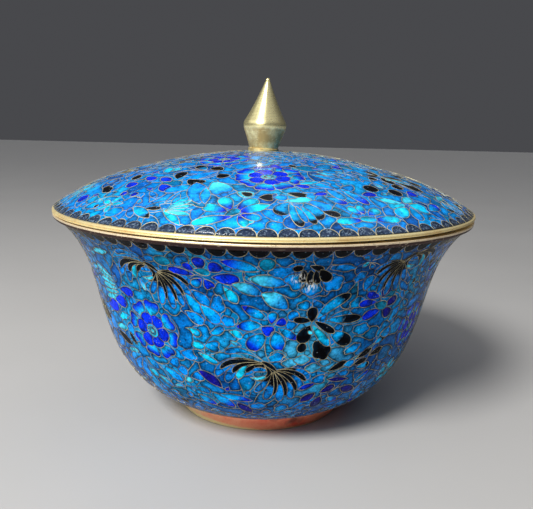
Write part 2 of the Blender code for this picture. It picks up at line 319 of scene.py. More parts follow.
class Enamel:
    """An enamelled outside with a flat chart, true in its angles, that cells of glass are drawn on.

    The bowl's chart is its wall unrolled, and the lid's is a disc. Points of a chart are complex
    numbers. Cells drawn later lie over earlier ones.
    """

    def __init__(self, outline, unrolled, seed, start=0.0):
        points = np.array([tuple(point) for point in outline])
        steps = np.hypot(*np.diff(points, axis=0).T)
        middles = (points[1:, 0] + points[:-1, 0]) / 2
        self.radius, self.height = points.T
        self.run = start + np.concatenate([[0.0], np.cumsum(steps)]) * 1000.0
        self.spread = np.concatenate([[0.0], np.cumsum(steps / middles)])
        self.unrolled = unrolled
        self.sense = 1.0 if unrolled else -1.0
        self.random = random.Random(seed)
        self.cells = []
        self.discs = []
        self.washes = []
        self.scuffs_and_glints = []
        self.underlaid = 0
        self.edged = 0

    def point(self, angle, height):
        """Point of the chart at a place."""
        turn = math.radians(angle)
        spread = float(np.interp(height, self.run, self.spread))
        if self.unrolled:
            return complex(turn, spread)
        return cmath.rect(math.exp(-spread), turn)

    def millimetre(self, point):
        """Length on the chart of one millimetre at a point of it."""
        if self.unrolled:
            return 0.001 / float(np.interp(point.imag, self.spread, self.radius))
        size = max(abs(point), 1e-6)
        return size * 0.001 / float(np.interp(-math.log(size), self.spread, self.radius))

    def around(self, angle, height, turn=0.0, size=1.0, mirror=False):
        """Function from millimetres right and up of a place to points of the chart."""
        origin = self.point(angle, height)
        right = self.millimetre(origin) * size * cmath.rect(1.0, math.radians(turn))
        if not self.unrolled:
            right *= 1j * origin / abs(origin)
        flip = -1.0 if mirror else 1.0
        return lambda x, y: origin + right * complex(flip * x, y)

    def on_disc(self, point):
        """Point of the flat disc that the glass is cut up on, where the bowl's two ends meet."""
        return cmath.exp(complex(point.imag, point.real)) if self.unrolled else point

    def places(self, disc_points):
        """Angle in radians, height in millimetres, radius and z of points of the disc."""
        spread = np.log(np.abs(disc_points)) * self.sense
        run = np.interp(spread, self.spread, self.run)
        return (
            np.angle(disc_points),
            run,
            np.interp(run, self.run, self.radius),
            np.interp(run, self.run, self.height),
        )

    def solid_point(self, point):
        """Millimetres in space of a point of the chart."""
        angle, _, radius, height = self.places(np.array([self.on_disc(point)]))
        return np.array([radius * np.cos(angle), radius * np.sin(angle), height])[:, 0] * 1000.0

    def draw(self, base, tip, width, colour, outline="petal", bend=None):
        """Add one cell from base to tip, points of the chart, width in millimetres at its widest."""
        narrow, pointed, notch, lobes = OUTLINES[outline]
        middle = (base + tip) / 2 if bend is None else bend
        unit = self.millimetre((base + tip + middle) / 3)

        def spine(u):
            return base * (1 - u) ** 2 + middle * 2 * u * (1 - u) + tip * u * u

        def heading(u):
            run = (middle - base) * (1 - u) + (tip - middle) * u
            return run / abs(run)

        turns = [math.pi * (2.0 * step / OUTLINE_STEPS - 1.0) for step in range(OUTLINE_STEPS)]
        shares = [(1.0 + math.cos(turn)) / 2.0 for turn in turns]
        sides = [math.sin(turn) for turn in turns]
        spans = [side * share**narrow * abs(side) ** pointed for side, share in zip(sides, shares)]
        widest = max(spans) / 0.5
        loop = []
        for turn, share, span in zip(turns, shares, spans):
            along = share - notch * math.exp(-((turn / NOTCH_SPREAD) ** 2))
            if lobes:
                swell = 1.0 - LOBE_DEPTH * (1.0 - abs(math.cos(lobes * turn / 2.0)))
                along = 0.5 + (along - 0.5) * swell
                span *= swell
            across = span / widest * width * unit
            loop.append(spine(along) + 1j * heading(along) * across)
        self.add(loop, [spine(step / SPINE_STEPS) for step in range(SPINE_STEPS + 1)], colour, width, unit)

    def add(self, loop, spine, colour, width, unit):
        """Keep a cell: its loop evened to the wire's step, and the discs of room that it takes."""
        half = len(loop) // 2
        sides = (loop[: half + 1], loop[half:] + loop[:1])
        evened = []
        for side in sides:
            lengths = [abs(b - a) / unit for a, b in zip(side, side[1:])]
            run = np.concatenate([[0.0], np.cumsum(lengths)])
            count = max(4, round(run[-1] / WIRE_STEP))
            at = np.linspace(0.0, run[-1], count + 1)[:-1]
            values = np.array(side)
            evened += list(np.interp(at, run, values.real) + 1j * np.interp(at, run, values.imag))
        disc_loop = np.array([self.on_disc(point) for point in evened])
        if np.sum(np.conj(disc_loop) * np.roll(disc_loop, -1)).imag < 0.0:
            disc_loop = disc_loop[::-1]
        glow = self.random.uniform(*GLOW)
        self.cells.append((disc_loop, np.array(spine), SHADES[colour], glow))
        for step, share in ROOM_TAKEN:
            self.discs.append((*self.solid_point(spine[step]), width * share))

    def room(self, base, tip, width, gap):
        """Whether a cell from base to tip would lie clear of the others by a gap in millimetres."""
        taken = np.array(self.discs)
        for way, share in ROOM_NEEDED:
            here = self.solid_point(base + (tip - base) * way)
            clear = np.linalg.norm(taken[:, :3] - here, axis=1) - taken[:, 3] - width * share
            if clear.min() < gap:
                return False
        return True

    def petal(self, angle, height, tip_angle, tip_height, width, colour, outline="petal", bow=0.0):
        """A cell from a place to the place of its tip, bowed sideways by some millimetres."""
        base = self.point(angle, height)
        tip = self.point(tip_angle, tip_height)
        run = tip - base
        middle = (base + tip) / 2
        if bow:
            middle += 1j * run / abs(run) * bow * 2.0 * self.millimetre(middle)
        self.draw(base, tip, width, colour, outline, middle)

    def petals(self, *rows):
        """Cells in the order of their rows, each row what petal takes."""
        for row in rows:
            self.petal(*row)

    def motif(self, pieces, angle, height, turn=0.0, size=1.0, mirror=False):
        """A group of cells drawn from its own table, in millimetres from its heart."""
        at = self.around(angle, height, turn, size, mirror)
        for start, bend, end, width, colour, outline in pieces:
            middle = at(*bend) if bend else None
            self.draw(at(*start), at(*end), width * size, colour, outline, middle)

    def ring(self, angle, height, count, near, far, width, colour, outline="petal", turn=0.0):
        """A ring of like petals round a place, from one distance out to another."""
        at = self.around(angle, height)
        for step in range(count):
            way = math.radians(turn + 360.0 * step / count + self.random.uniform(-3.0, 3.0))
            reach = far * self.random.uniform(0.93, 1.05)
            base = at(near * math.cos(way), near * math.sin(way))
            tip = at(reach * math.cos(way), reach * math.sin(way))
            self.draw(base, tip, width, colour, outline)

    def button(self, angle, height, radius, colours):
        """Round heart of a flower: one disc inside another."""
        at = self.around(angle, height, self.random.uniform(0.0, 180.0))
        for index, colour in enumerate(colours):
            reach = radius * (1.0 - index / len(colours))
            self.draw(at(-reach, 0.0), at(reach, 0.0), reach * 1.7, colour, "oval")

    def wash(self, angle, height, reach, colour, strength):
        """Tint the ground round a place, fading out at a reach in millimetres."""
        centre = self.solid_point(self.point(angle, height))
        self.washes.append((centre, reach, np.array(colour), strength))

    def scuff_and_glint(self, angle, height, reach):
        """Rub the glass matt and pale in broken streaks round a place, for some millimetres, partly as
        painted glints.
        """
        self.scuffs_and_glints.append((self.solid_point(self.point(angle, height)), reach))

    def outward(self, run):
        """Radial and upward parts of the direction out of the glass at heights along the outline."""
        across = np.gradient(self.radius, self.run)
        rise = np.gradient(self.height, self.run)
        length = np.hypot(across, rise)
        return np.interp(run, self.run, rise / length), np.interp(run, self.run, -across / length)

    def in_space(self, disc_points, lift=0.0):
        """Points in space of points of the disc, raised off the outline by a lift in metres."""
        angle, run, radius, height = self.places(disc_points)
        out, up = self.outward(run)
        radius = radius + out * lift
        return np.column_stack([radius * np.cos(angle), radius * np.sin(angle), height + up * lift])

    def lattice(self):
        """Points of the disc spread evenly over the outside in staggered rows."""
        length = self.run[-1] - self.run[0]
        rows = int(length / (GLASS_STEP * 0.87))
        found = []
        for row in range(1, rows):
            run = self.run[0] + length * row / rows
            spread = np.interp(run, self.run, self.spread) * self.sense
            round_about = math.tau * 1000.0 * float(np.interp(run, self.run, self.radius))
            count = max(6, round(round_about / GLASS_STEP))
            turns = math.tau * (np.arange(count) + 0.5 * (row % 2)) / count
            found.append(math.exp(spread) * np.exp(1j * turns))
        return np.concatenate(found)


def nearest_distance(points, targets):
    """Distance in millimetres from each point in space to the nearest target."""
    tree = KDTree(len(targets))
    for index, target in enumerate(targets):
        tree.insert(target, index)
    tree.balance()
    return np.array([tree.find(point)[2] for point in points]) * 1000.0


def within(points, loop):
    """Whether points of the disc lie inside a closed loop, also where the loop crosses itself."""
    after = np.roll(loop, -1)
    run = after - loop
    level = points.imag[:, None]
    side = run.real * (level - loop.imag) - (points.real[:, None] - loop.real) * run.imag
    rising = (loop.imag <= level) & (after.imag > level) & (side > 0)
    falling = (after.imag <= level) & (loop.imag > level) & (side < 0)
    return rising.sum(axis=1) != falling.sum(axis=1)


def cut_glass(glass):
    """Cut the disc into triangles along every cell: points, triangles and the topmost cell of each."""
    near, far = np.sort(np.exp(glass.spread[[0, -1]] * glass.sense))
    turns = np.exp(1j * math.tau * np.arange(CIRCLE_STEPS) / CIRCLE_STEPS)
    loops = [far * turns, near * turns] + [cell[0] for cell in glass.cells]
    drawn = np.concatenate(loops)
    inside = (np.abs(drawn) < far * (1.0 + EDGE_SLACK)) & (np.abs(drawn) > near * (1.0 - EDGE_SLACK))
    spots = glass.lattice()
    clear = nearest_distance(glass.in_space(spots), glass.in_space(drawn[inside])) > LATTICE_CLEARANCE
    points = np.concatenate([drawn, spots[clear]])
    edges = []
    start = 2 * CIRCLE_STEPS
    for loop in loops[2:]:
        count = len(loop)
        edges += [(start + step, start + (step + 1) % count) for step in range(count)]
        start += count
    circles = [list(range(CIRCLE_STEPS)), list(range(CIRCLE_STEPS, 2 * CIRCLE_STEPS))]
    flat = [Vector((point.real, point.imag)) for point in points]
    cut = delaunay_2d_cdt(flat, edges, circles, 0, WELD_DISTANCE, True)
    places = np.array([complex(*point) for point in cut[0]])
    between = [0 in covers and 1 not in covers for covers in cut[5]]
    triangles = np.array([corners for corners, kept in zip(cut[2], between) if kept])
    used, again = np.unique(triangles, return_inverse=True)
    places = places[used]
    triangles = again.reshape(-1, 3)
    middles = places[triangles].mean(axis=1)
    tops = np.full(len(triangles), -1)
    for index, (loop, *_) in enumerate(glass.cells):
        beside = (middles.real > loop.real.min()) & (middles.real < loop.real.max())
        level = (middles.imag > loop.imag.min()) & (middles.imag < loop.imag.max())
        near_by = np.flatnonzero(beside & level)
        tops[near_by[within(middles[near_by], loop)]] = index
    return places, triangles, melt_scraps(glass, places, triangles, tops)


def edges_of(triangles):
    """The three edges of every triangle, each with its lower point first."""
    return np.sort(triangles[:, [0, 1, 1, 2, 2, 0]].reshape(-1, 2), axis=1)


def neighbours(triangles):
    """Pairs of triangles that share an edge, with the edge's two points."""
    ends = edges_of(triangles)
    owners = np.repeat(np.arange(len(triangles)), 3)
    order = np.lexsort((ends[:, 1], ends[:, 0]))
    ends = ends[order]
    owners = owners[order]
    same = np.flatnonzero((ends[1:] == ends[:-1]).all(axis=1))
    return owners[same], owners[same + 1], ends[same]


def patches_of(count, pairs):
    """The patch that each of some triangles is in, where the triangles of a pair belong together."""
    joined = list(range(count))

    def root(index):
        while joined[index] != index:
            joined[index] = joined[joined[index]]
            index = joined[index]
        return index

    for one, other in pairs:
        joined[root(one)] = root(other)
    return np.array([root(index) for index in range(count)])


def melt_scraps(glass, places, triangles, tops):
    """Give each scrap of glass too small for a maker to lay to the neighbour it shares most wire with."""
    space = glass.in_space(places) * 1000.0
    corners = space[triangles]
    sides = np.cross(corners[:, 1] - corners[:, 0], corners[:, 2] - corners[:, 0])
    areas = np.linalg.norm(sides, axis=1) / 2
    first, second, ends = neighbours(triangles)
    lengths = np.linalg.norm(space[ends[:, 0]] - space[ends[:, 1]], axis=1)
    for _ in range(MELT_ROUNDS):
        alike = tops[first] == tops[second]
        patch = patches_of(len(triangles), zip(first[alike].tolist(), second[alike].tolist()))
        sizes = np.bincount(patch, weights=areas, minlength=len(triangles))
        ground = tops < glass.underlaid
        welcome = np.where(ground, 1.0, np.where(tops < glass.edged, PETAL_WELCOME, SCALLOP_WELCOME))
        small = sizes[patch] < np.where(ground, LEAST_GROUND, LEAST_PETAL)
        shared = {}
        borders = (first[~alike].tolist(), second[~alike].tolist(), lengths[~alike].tolist())
        for one, other, length in zip(*borders):
            for here, there in ((one, other), (other, one)):
                if small[here] and sizes[patch[there]] > sizes[patch[here]]:
                    best = shared.setdefault(patch[here], {})
                    best[tops[there]] = best.get(tops[there], 0.0) + length * welcome[there]
        if not shared:
            break
        swap = {scrap: max(beside, key=beside.get) for scrap, beside in shared.items()}
        tops = np.array([swap.get(own, top) for own, top in zip(patch, tops)])
    return tops


def wire_edges(triangles, tops):
    """Edges between two different cells, and the edges that only one triangle has."""
    first, second, ends = neighbours(triangles)
    every, times = np.unique(edges_of(triangles), axis=0, return_counts=True)
    return ends[tops[first] != tops[second]], every[times == 1]


def ground_colours(glass, disc_points, light, deep):
    """Colour of the ground glass at points of the disc: clouded between two shades, and washed."""
    space = glass.in_space(disc_points)
    clouds = np.array([noise.fractal(Vector(point) * 95.0, 0.9, 2.1, 3) for point in space])
    share = np.clip(0.5 + 0.8 * clouds, 0.0, 1.0)[:, None]
    colours = np.array(deep) * (1 - share) + np.array(light) * share
    paler = np.clip((share - 0.72) / 0.28, 0.0, 1.0) * 0.5
    colours = colours * (1 - paler) + np.array(PALE_GROUND) * paler
    for centre, reach, colour, strength in glass.washes:
        distance = np.linalg.norm(space * 1000.0 - centre, axis=1)
        amount = strength * np.clip(1.0 - distance / reach, 0.0, 1.0)[:, None] ** 0.7
        colours = colours * (1 - amount) + colour * amount
    return colours


def glass_colours(glass, places, triangles, tops, grounds):
    """Colour of every corner of every triangle, with the light and the deep shade of the ground."""
    colours = ground_colours(glass, places, *grounds)[triangles]
    chart = np.angle(places) + 1j * np.log(np.abs(places)) if glass.unrolled else places
    order = np.argsort(tops, kind="stable")
    starts = np.searchsorted(tops[order], np.arange(len(glass.cells) + 1))
    for index, (_, spine, colouring, glow) in enumerate(glass.cells):
        mine = order[starts[index] : starts[index + 1]]
        if not len(mine) or colouring is None:
            continue
        heart, tip, change, blend = colouring
        at = chart[triangles[mine]]
        if glass.unrolled:
            at = at + math.tau * np.round((spine[0].real - at.real) / math.tau)
        share = np.abs(at[..., None] - spine).argmin(axis=-1) / SPINE_STEPS
        mix = np.clip((share - change + blend) / (2 * blend), 0.0, 1.0)[..., None]
        mix = mix * mix * (3 - 2 * mix)
        colours[mine] = (heart * (1 - mix) + tip * mix) * glow
    return colours


def line_shell(points, faces, loop, turns, lining):
    """Carry a shell on from a loop of its rim through the rings of a lining to a point on the axis."""
    for ring in lining[:-1]:
        start = len(points)
        points += [(ring.x * math.cos(turn), ring.x * math.sin(turn), ring.y) for turn in turns]
        after = list(range(start, len(points)))
        for here in range(-1, len(loop) - 1):
            faces.append((loop[here], loop[here + 1], after[here + 1], after[here]))
        loop = after
    points.append((0.0, 0.0, lining[-1].y))
    for here in range(-1, len(loop) - 1):
        faces.append((loop[here], loop[here + 1], len(points) - 1))


def face_outwards(mesh):
    """Turn the faces of a closed mesh to point out of it."""
    work = bmesh.new()
    work.from_mesh(mesh)
    bmesh.ops.recalc_face_normals(work, faces=work.faces)
    work.to_mesh(mesh)
    work.free()


def mark_corners(mesh, name, values):
    """Keep a value for each corner of the cut glass, and 0 for the corners of the linings."""
    every = np.zeros(len(mesh.loops))
    every[: values.size] = values.ravel()
    mesh.attributes.new(name, "FLOAT", "CORNER").data.foreach_set("value", every)


def paint_corners(mesh, colours):
    """Keep the colour of each corner of the cut glass, and clouded plain glass for the linings."""
    linings = mesh.loops[colours.size // 3 :]
    places = [mesh.vertices[corner.vertex_index].co for corner in linings]
    clouds = np.array([0.9 + 0.2 * noise.noise(place * 160.0) for place in places])
    painted = np.concatenate([colours.reshape(-1, 3), np.array(COUNTER_GLASS)[None] * clouds[:, None]])
    layer = mesh.color_attributes.new("glass", "FLOAT_COLOR", "CORNER")
    layer.data.foreach_set("color", np.column_stack([painted, np.ones(len(painted))]).ravel())


def enamel_shell(name, glass, material, grounds, outer_lining, inner_lining):
    """Closed wall: the cut glass outside, carried on by the linings at its wide and narrow ends.

    A lining is a list of (radius, height) that ends in a point on the axis. The shell comes with the
    points, the directions out of the glass and the edges that the wires follow.
    """
    places, triangles, tops = cut_glass(glass)
    wires, loose = wire_edges(triangles, tops)
    wired = np.unique(wires)
    rim = np.unique(loose)
    level = glass.in_space(places)
    angle, run, _, _ = glass.places(places)
    out, up = glass.outward(run)
    outward = np.column_stack([out * np.cos(angle), out * np.sin(angle), up])
    distance = nearest_distance(level, level[np.union1d(wired, rim)])
    dish = DISH_DEPTH * 0.001 * (1.0 - np.exp(-distance / DISH_REACH))
    points = (level - outward * dish[:, None]).tolist()
    faces = triangles.tolist()
    middle = math.sqrt(np.abs(places[rim]).max() * np.abs(places[rim]).min())
    for lining, wide in ((outer_lining, True), (inner_lining, False)):
        loop = [index for index in rim.tolist() if (abs(places[index]) > middle) == wide]
        loop.sort(key=lambda index: angle[index])
        line_shell(points, faces, loop, angle[loop], lining)
    mesh = bpy.data.meshes.new(name)
    mesh.from_pydata(points, [], faces)
    paint_corners(mesh, glass_colours(glass, places, triangles, tops, grounds))
    beside_wire = np.zeros(len(places))
    beside_wire[wired] = 1.0
    beside_wire = beside_wire[triangles]
    beside_wire[beside_wire.all(axis=1)] = NARROW_SHADE
    mark_corners(mesh, "beside_wire", beside_wire)
    scuffed_and_glinting = np.zeros(len(places))
    for centre, reach in glass.scuffs_and_glints:
        gap = np.linalg.norm(level * 1000.0 - centre, axis=1)
        scuffed_and_glinting = np.maximum(scuffed_and_glinting, np.clip(1.5 - gap / reach, 0.0, 1.0))
    mark_corners(mesh, "scuffed_and_glinting", scuffed_and_glinting[triangles])
    shell = link_mesh(name, mesh, material)
    face_outwards(mesh)
    return shell, glass.in_space(places, (WIRE_PROUD - WIRE_DEPTH) / 2), outward, wires


def link_mesh(name, mesh, material):
    """Object of a mesh, shaded smooth."""
    mesh.materials.append(material)
    mesh.shade_smooth()
    piece = bpy.data.objects.new(name, mesh)
    bpy.context.scene.collection.objects.link(piece)
    return piece


def bake_tree(piece, tree, values):
    """Run a geometry tree on a piece and keep its result as a plain mesh."""
    modifier = piece.modifiers.new("shape", "NODES")
    modifier.node_group = tree
    for socket in tree.interface.items_tree:
        if socket.item_type == "SOCKET" and socket.in_out == "INPUT" and socket.name in values:
            modifier[socket.identifier] = values[socket.name]
    graph = bpy.context.evaluated_depsgraph_get()
    made = bpy.data.meshes.new_from_object(piece.evaluated_get(graph))
    made.name = piece.name
    piece.modifiers.remove(modifier)
    piece.data = made
    return piece


def add(tree, kind, inputs=None, **settings):
    """New node of a tree, with its settings, and its inputs set or linked by name or number."""
    made = tree.nodes.new(kind)
    for key, value in settings.items():
        setattr(made, key, value)
    for name, value in (inputs or {}).items():
        if isinstance(value, Signal):
            tree.links.new(value.socket, made.inputs[name])
        else:
            made.inputs[name].default_value = value
    return made


def signals(tree, kind, inputs=None, **settings):
    """Outputs of a new node, as signals."""
    return [Signal(tree, socket) for socket in add(tree, kind, inputs, **settings).outputs]


def by_name(tree, node):
    """Outputs of a node as signals, under their names."""
    return {socket.name: Signal(tree, socket) for socket in node.outputs}


class Signal:
    """Output of a node, so that what is worked out from it can be written as sums and products."""

    def __init__(self, tree, socket):
        self.tree = tree
        self.socket = socket

    def into(self, kind, inputs=None, **settings):
        """Outputs of a new node that takes this signal first."""
        return signals(self.tree, kind, {0: self, **(inputs or {})}, **settings)

    def maths(self, operation, other=0.0):
        """The signal after a sum with another or with a number."""
        return self.into("ShaderNodeMath", {1: other}, operation=operation)[0]

    def __add__(self, other):
        return self.maths("ADD", other)

    def __sub__(self, other):
        return self.maths("SUBTRACT", other)

    def __rsub__(self, other):
        return signals(self.tree, "ShaderNodeMath", {0: other, 1: self}, operation="SUBTRACT")[0]

    def __mul__(self, other):
        return self.maths("MULTIPLY", other)

    def __pow__(self, other):
        return self.maths("POWER", other)

    def spread(self, low, high, to_low=0.0, to_high=1.0):
        """The signal carried from one range to another and held inside it."""
        return self.into("ShaderNodeMapRange", {1: low, 2: high, 3: to_low, 4: to_high}, clamp=True)[0]

    def between(self, first, second):
        """Colour between two others, the first where the signal is 0 and the second where it is 1."""
        return self.into("ShaderNodeMix", {6: first, 7: second}, data_type="RGBA")[2]

    def noise(self, scale, detail, roughness=0.5):
        """Clouds at a place given by the signal."""
        values = {"Scale": scale, "Detail": detail, "Roughness": roughness}
        return self.into("ShaderNodeTexNoise", values)[0]

    def stretched(self, turns, scale, detail):
        """Clouds drawn out along one way."""
        return self.into("ShaderNodeMapping", {"Rotation": turns, "Scale": scale})[0].noise(1.0, detail)

    def dots(self, scale):
        """Distance to the nearest of some scattered dots, and the parts of a colour drawn by lot for it."""
        distance, lot = self.into("ShaderNodeTexVoronoi", {"Scale": scale})[:2]
        return distance, lot.into("ShaderNodeSeparateColor")


def object_place(tree):
    """Place on the object, for textures that stay with it."""
    return Signal(tree, add(tree, "ShaderNodeTexCoord").outputs["Object"])


FLOAT = "NodeSocketFloat"
COLOUR = "NodeSocketColor"
GEOMETRY = "NodeSocketGeometry"


def new_group(name, kind, given, made):
    """Node group with inputs and outputs given as name and kind of socket, and its inputs as signals."""
    tree = bpy.data.node_groups.new(name, kind)
    for label, socket_type in given.items():
        tree.interface.new_socket(label, in_out="INPUT", socket_type=socket_type)
    for label, socket_type in made.items():
        tree.interface.new_socket(label, in_out="OUTPUT", socket_type=socket_type)
    return tree, by_name(tree, tree.nodes.new("NodeGroupInput"))


def wire_tree():
    """Geometry tree that lays a flat-topped wire along every edge of a mesh, square to its surface."""
    inputs = {"Geometry": GEOMETRY, "Top width": FLOAT, "Foot width": FLOAT, "Height": FLOAT,
              "Unevenness": FLOAT, "Metal": "NodeSocketMaterial"}
    tree, given = new_group("laid_wire", "GeometryNodeTree", inputs, {"Geometry": GEOMETRY})
    path = given["Geometry"].into("GeometryNodeMeshToCurve")[0]
    named = {"Name": "outward"}
    outward = signals(tree, "GeometryNodeInputNamedAttribute", named, data_type="FLOAT_VECTOR")[0]
    stood = path.into("GeometryNodeSetCurveNormal", {"Normal": outward}, mode="FREE")[0]
    bumps = signals(tree, "ShaderNodeTexNoise", {"Scale": WIRE_BUMPS, "Detail": 1.0})[0]
    thick = (bumps - 0.5) * given["Unevenness"] + 1.0
    sized = stood.into("GeometryNodeSetCurveRadius", {"Radius": thick})[0]
    sides = {"Bottom Width": given["Foot width"], "Top Width": given["Top width"],
             "Height": given["Height"], "Offset": 0.0}
    section = signals(tree, "GeometryNodeCurvePrimitiveQuadrilateral", sides, mode="TRAPEZOID")[0]
    tube = sized.into("GeometryNodeCurveToMesh", {"Profile Curve": section, "Fill Caps": True})[0]
    real = tube.into("GeometryNodeRealizeInstances")[0]
    metal = real.into("GeometryNodeSetMaterial", {"Material": given["Metal"]})[0]
    add(tree, "NodeGroupOutput", {"Geometry": metal})
    return tree


def lay_wires(name, points, outward, edges, tree, material, sectors, place=None):
    """Wires along the edges of the cells, one piece for each sector round the axis."""
    values = {
        "Top width": WIRE_TOP,
        "Foot width": WIRE_FOOT,
        "Height": WIRE_PROUD + WIRE_DEPTH,
        "Unevenness": WIRE_UNEVENNESS,
        "Metal": material,
    }
    middles = points[edges].mean(axis=1)
    share = (np.arctan2(middles[:, 1], middles[:, 0]) + math.pi) / math.tau
    sector = np.minimum((share * sectors).astype(int), sectors - 1)
    for index in range(sectors):
        used, again = np.unique(edges[sector == index], return_inverse=True)
        mesh = bpy.data.meshes.new(f"{name}_{index + 1}")
        mesh.from_pydata(points[used].tolist(), again.reshape(-1, 2).tolist(), [])
        ways = mesh.attributes.new("outward", "FLOAT_VECTOR", "POINT")
        ways.data.foreach_set("vector", outward[used].ravel())
        piece = link_mesh(mesh.name, mesh, material)
        bake_tree(piece, tree, values)
        piece.data.shade_flat()
        if place is not None:
            piece.data.transform(place)
        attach(piece, "root")


# Flowers and butterflies, each piece as start, bend, end in millimetres right and up of the heart,
# then its width, its colour and its outline
CHRYSANTHEMUM = (
    ((0.2, 0.6), (-5.4, 5.6), (-9.6, 2.8), 1.8, "sky", "club"),
    ((-0.2, 0.3), (-8.6, 3.4), (-12.4, -4.8), 2.6, "night_azure", "club"),
    ((-0.2, 0.2), (-8.6, 2.0), (-11.0, -2.2), 1.5, "night", "petal"),
    ((-0.3, 0.1), (-7.6, 1.0), (-9.6, -6.8), 2.5, "night_azure", "club"),
    ((-0.3, 0.0), (-6.8, 0.4), (-7.8, -3.2), 1.5, "night", "petal"),
    ((-0.3, -0.2), (-5.6, -0.2), (-6.6, -5.2), 2.0, "night_cyan", "club"),
    ((-0.3, -0.3), (-3.6, -0.6), (-4.4, -2.8), 1.3, "night", "petal"),
    ((0.0, -0.4), (3.6, -4.2), (-1.8, -5.4), 1.4, "night", "petal"),
    ((-2.9, -2.2), (-1.2, -1.2), (0.6, -2.2), 1.5, "azure", "oval"),
    ((-3.4, -4.4), (-1.2, -5.2), (0.6, -4.0), 1.2, "pale", "petal"),
    ((2.9, -1.9), (8.6, -0.8), (12.0, -5.4), 2.4, "night_azure", "club"),
    ((2.9, -2.0), (8.4, -1.8), (11.2, -6.0), 1.5, "night", "petal"),
    ((2.8, -2.1), (7.8, -2.6), (10.8, -9.6), 2.4, "night_azure", "club"),
    ((2.8, -2.2), (7.2, -3.8), (9.0, -9.4), 1.5, "night", "petal"),
    ((2.7, -2.3), (6.6, -5.0), (8.0, -13.0), 2.4, "night_azure", "club"),
    ((2.6, -2.3), (5.6, -5.6), (6.2, -11.4), 1.5, "night", "petal"),
    ((2.5, -2.4), (4.6, -6.6), (4.6, -14.0), 2.4, "night_azure", "club"),
    ((2.4, -2.4), (3.4, -6.4), (2.8, -11.0), 1.4, "night", "petal"),
    ((2.3, -2.4), (2.2, -7.2), (0.8, -13.0), 2.4, "night_azure", "club"),
    ((2.2, -2.4), (1.0, -5.6), (-2.2, -9.8), 2.1, "night_azure", "club"),
    ((-0.8, 0.7), (1.2, 0.2), (3.4, -2.6), 1.2, "night", "leaf"),
)
BUTTERFLY = (
    ((0.4, 2.2), (3.4, 6.6), (8.2, 8.4), 3.0, "azure_night", "petal"),
    ((2.6, 1.8), None, (12.6, 1.5), 2.4, "half_night", "petal"),
    ((4.4, -1.6), None, (11.0, -5.8), 3.6, "half_night", "petal"),
    ((1.2, -3.4), None, (4.4, -10.0), 5.0, "night", "lobed"),
    ((-0.8, 1.9), None, (-5.2, 2.3), 1.8, "night", "petal"),
    ((-0.6, 1.5), None, (-0.9, 5.6), 2.7, "night", "petal"),
    ((-1.0, 0.6), None, (-3.0, -4.4), 3.6, "night", "petal"),
    ((-2.2, -4.4), None, (-2.7, -7.2), 2.4, "night", "oval"),
    ((0.0, 1.7), None, (5.8, -2.0), 1.9, "night", "petal"),
    ((-0.6, 0.8), None, (4.8, -5.8), 2.3, "cyan", "petal"),
    ((-1.4, -0.9), None, (0.0, -2.0), 1.0, "pale", "oval"),
)
HALF_FLOWER = (
    ((-4.6, 0.6), None, (-11.2, -0.2), 3.6, "azure", "lobed"),
    ((2.6, 1.4), None, (9.8, 0.8), 2.6, "azure", "lobed"),
    ((-2.2, -0.8), None, (-6.6, -4.4), 5.2, "sky", "heart"),
    ((2.4, -0.8), None, (7.0, -5.6), 5.4, "azure", "lobed"),
    ((-0.3, -2.4), None, (-0.3, -7.4), 5.4, "sky", "lobed"),
    ((-1.8, 2.1), None, (1.6, 0.8), 1.7, "night", "petal"),
    ((-5.6, 1.2), None, (-3.2, 1.4), 2.0, "night", "oval"),
    ((-3.0, 0.8), None, (-2.6, -3.0), 2.2, "night", "petal"),
    ((-1.4, 0.8), None, (-0.6, -3.8), 2.2, "night", "petal"),
    ((-0.2, 0.6), None, (1.0, -3.6), 1.9, "night", "petal"),
    ((0.8, 0.8), None, (3.8, -2.9), 2.8, "night", "petal"),
)
FAN_FLOWER = (
    ((3.0, 0.8), None, (8.2, -2.4), 3.4, "azure", "petal"),
    ((-1.0, 0.0), None, (-4.8, -4.8), 4.2, "azure_night", "petal"),
    ((2.0, -0.2), None, (4.8, -6.8), 4.4, "azure_night", "petal"),
    ((-1.4, -0.4), None, (0.0, -9.4), 2.8, "azure_night", "petal"),
    ((1.0, -1.6), None, (3.4, -8.4), 2.2, "azure_night", "petal"),
    ((-0.2, -1.6), None, (1.5, -8.0), 1.7, "sky", "petal"),
    ((-2.4, 0.5), None, (4.0, 1.5), 2.5, "pale", "petal"),
    ((5.8, -3.6), None, (9.8, -4.8), 2.3, "night", "petal"),
)
LEAF_SPRAY = (
    ((-1.0, -1.0), (4.0, 0.5), (14.5, 8.5), 1.1, "teal", "leaf"),
    ((0.0, 0.0), None, (4.4, 2.4), 2.0, "night", "petal"),
    ((3.8, 1.2), None, (7.0, 2.0), 2.3, "sky", "petal"),
    ((2.6, -1.0), None, (6.4, -1.4), 2.0, "azure", "petal"),
    ((7.0, 2.8), None, (11.4, 5.4), 1.9, "night", "spear"),
    ((6.6, 1.0), None, (10.8, 2.4), 1.9, "night", "spear"),
    ((8.2, 0.0), None, (12.4, 0.6), 2.1, "azure_night", "petal"),
    ((11.0, 3.2), None, (15.4, 5.0), 2.0, "night", "spear"),
    ((11.6, 6.4), None, (15.6, 9.2), 2.2, "half_night", "petal"),
)
CLOUD = (
    ((-4.2, 1.4), None, (-0.4, 1.8), 2.8, "ground", "cloud"),
    ((-1.2, -0.6), None, (2.8, -0.4), 2.8, "ground", "cloud"),
    ((1.8, 1.2), None, (5.0, 0.8), 2.2, "ground", "cloud"),
)


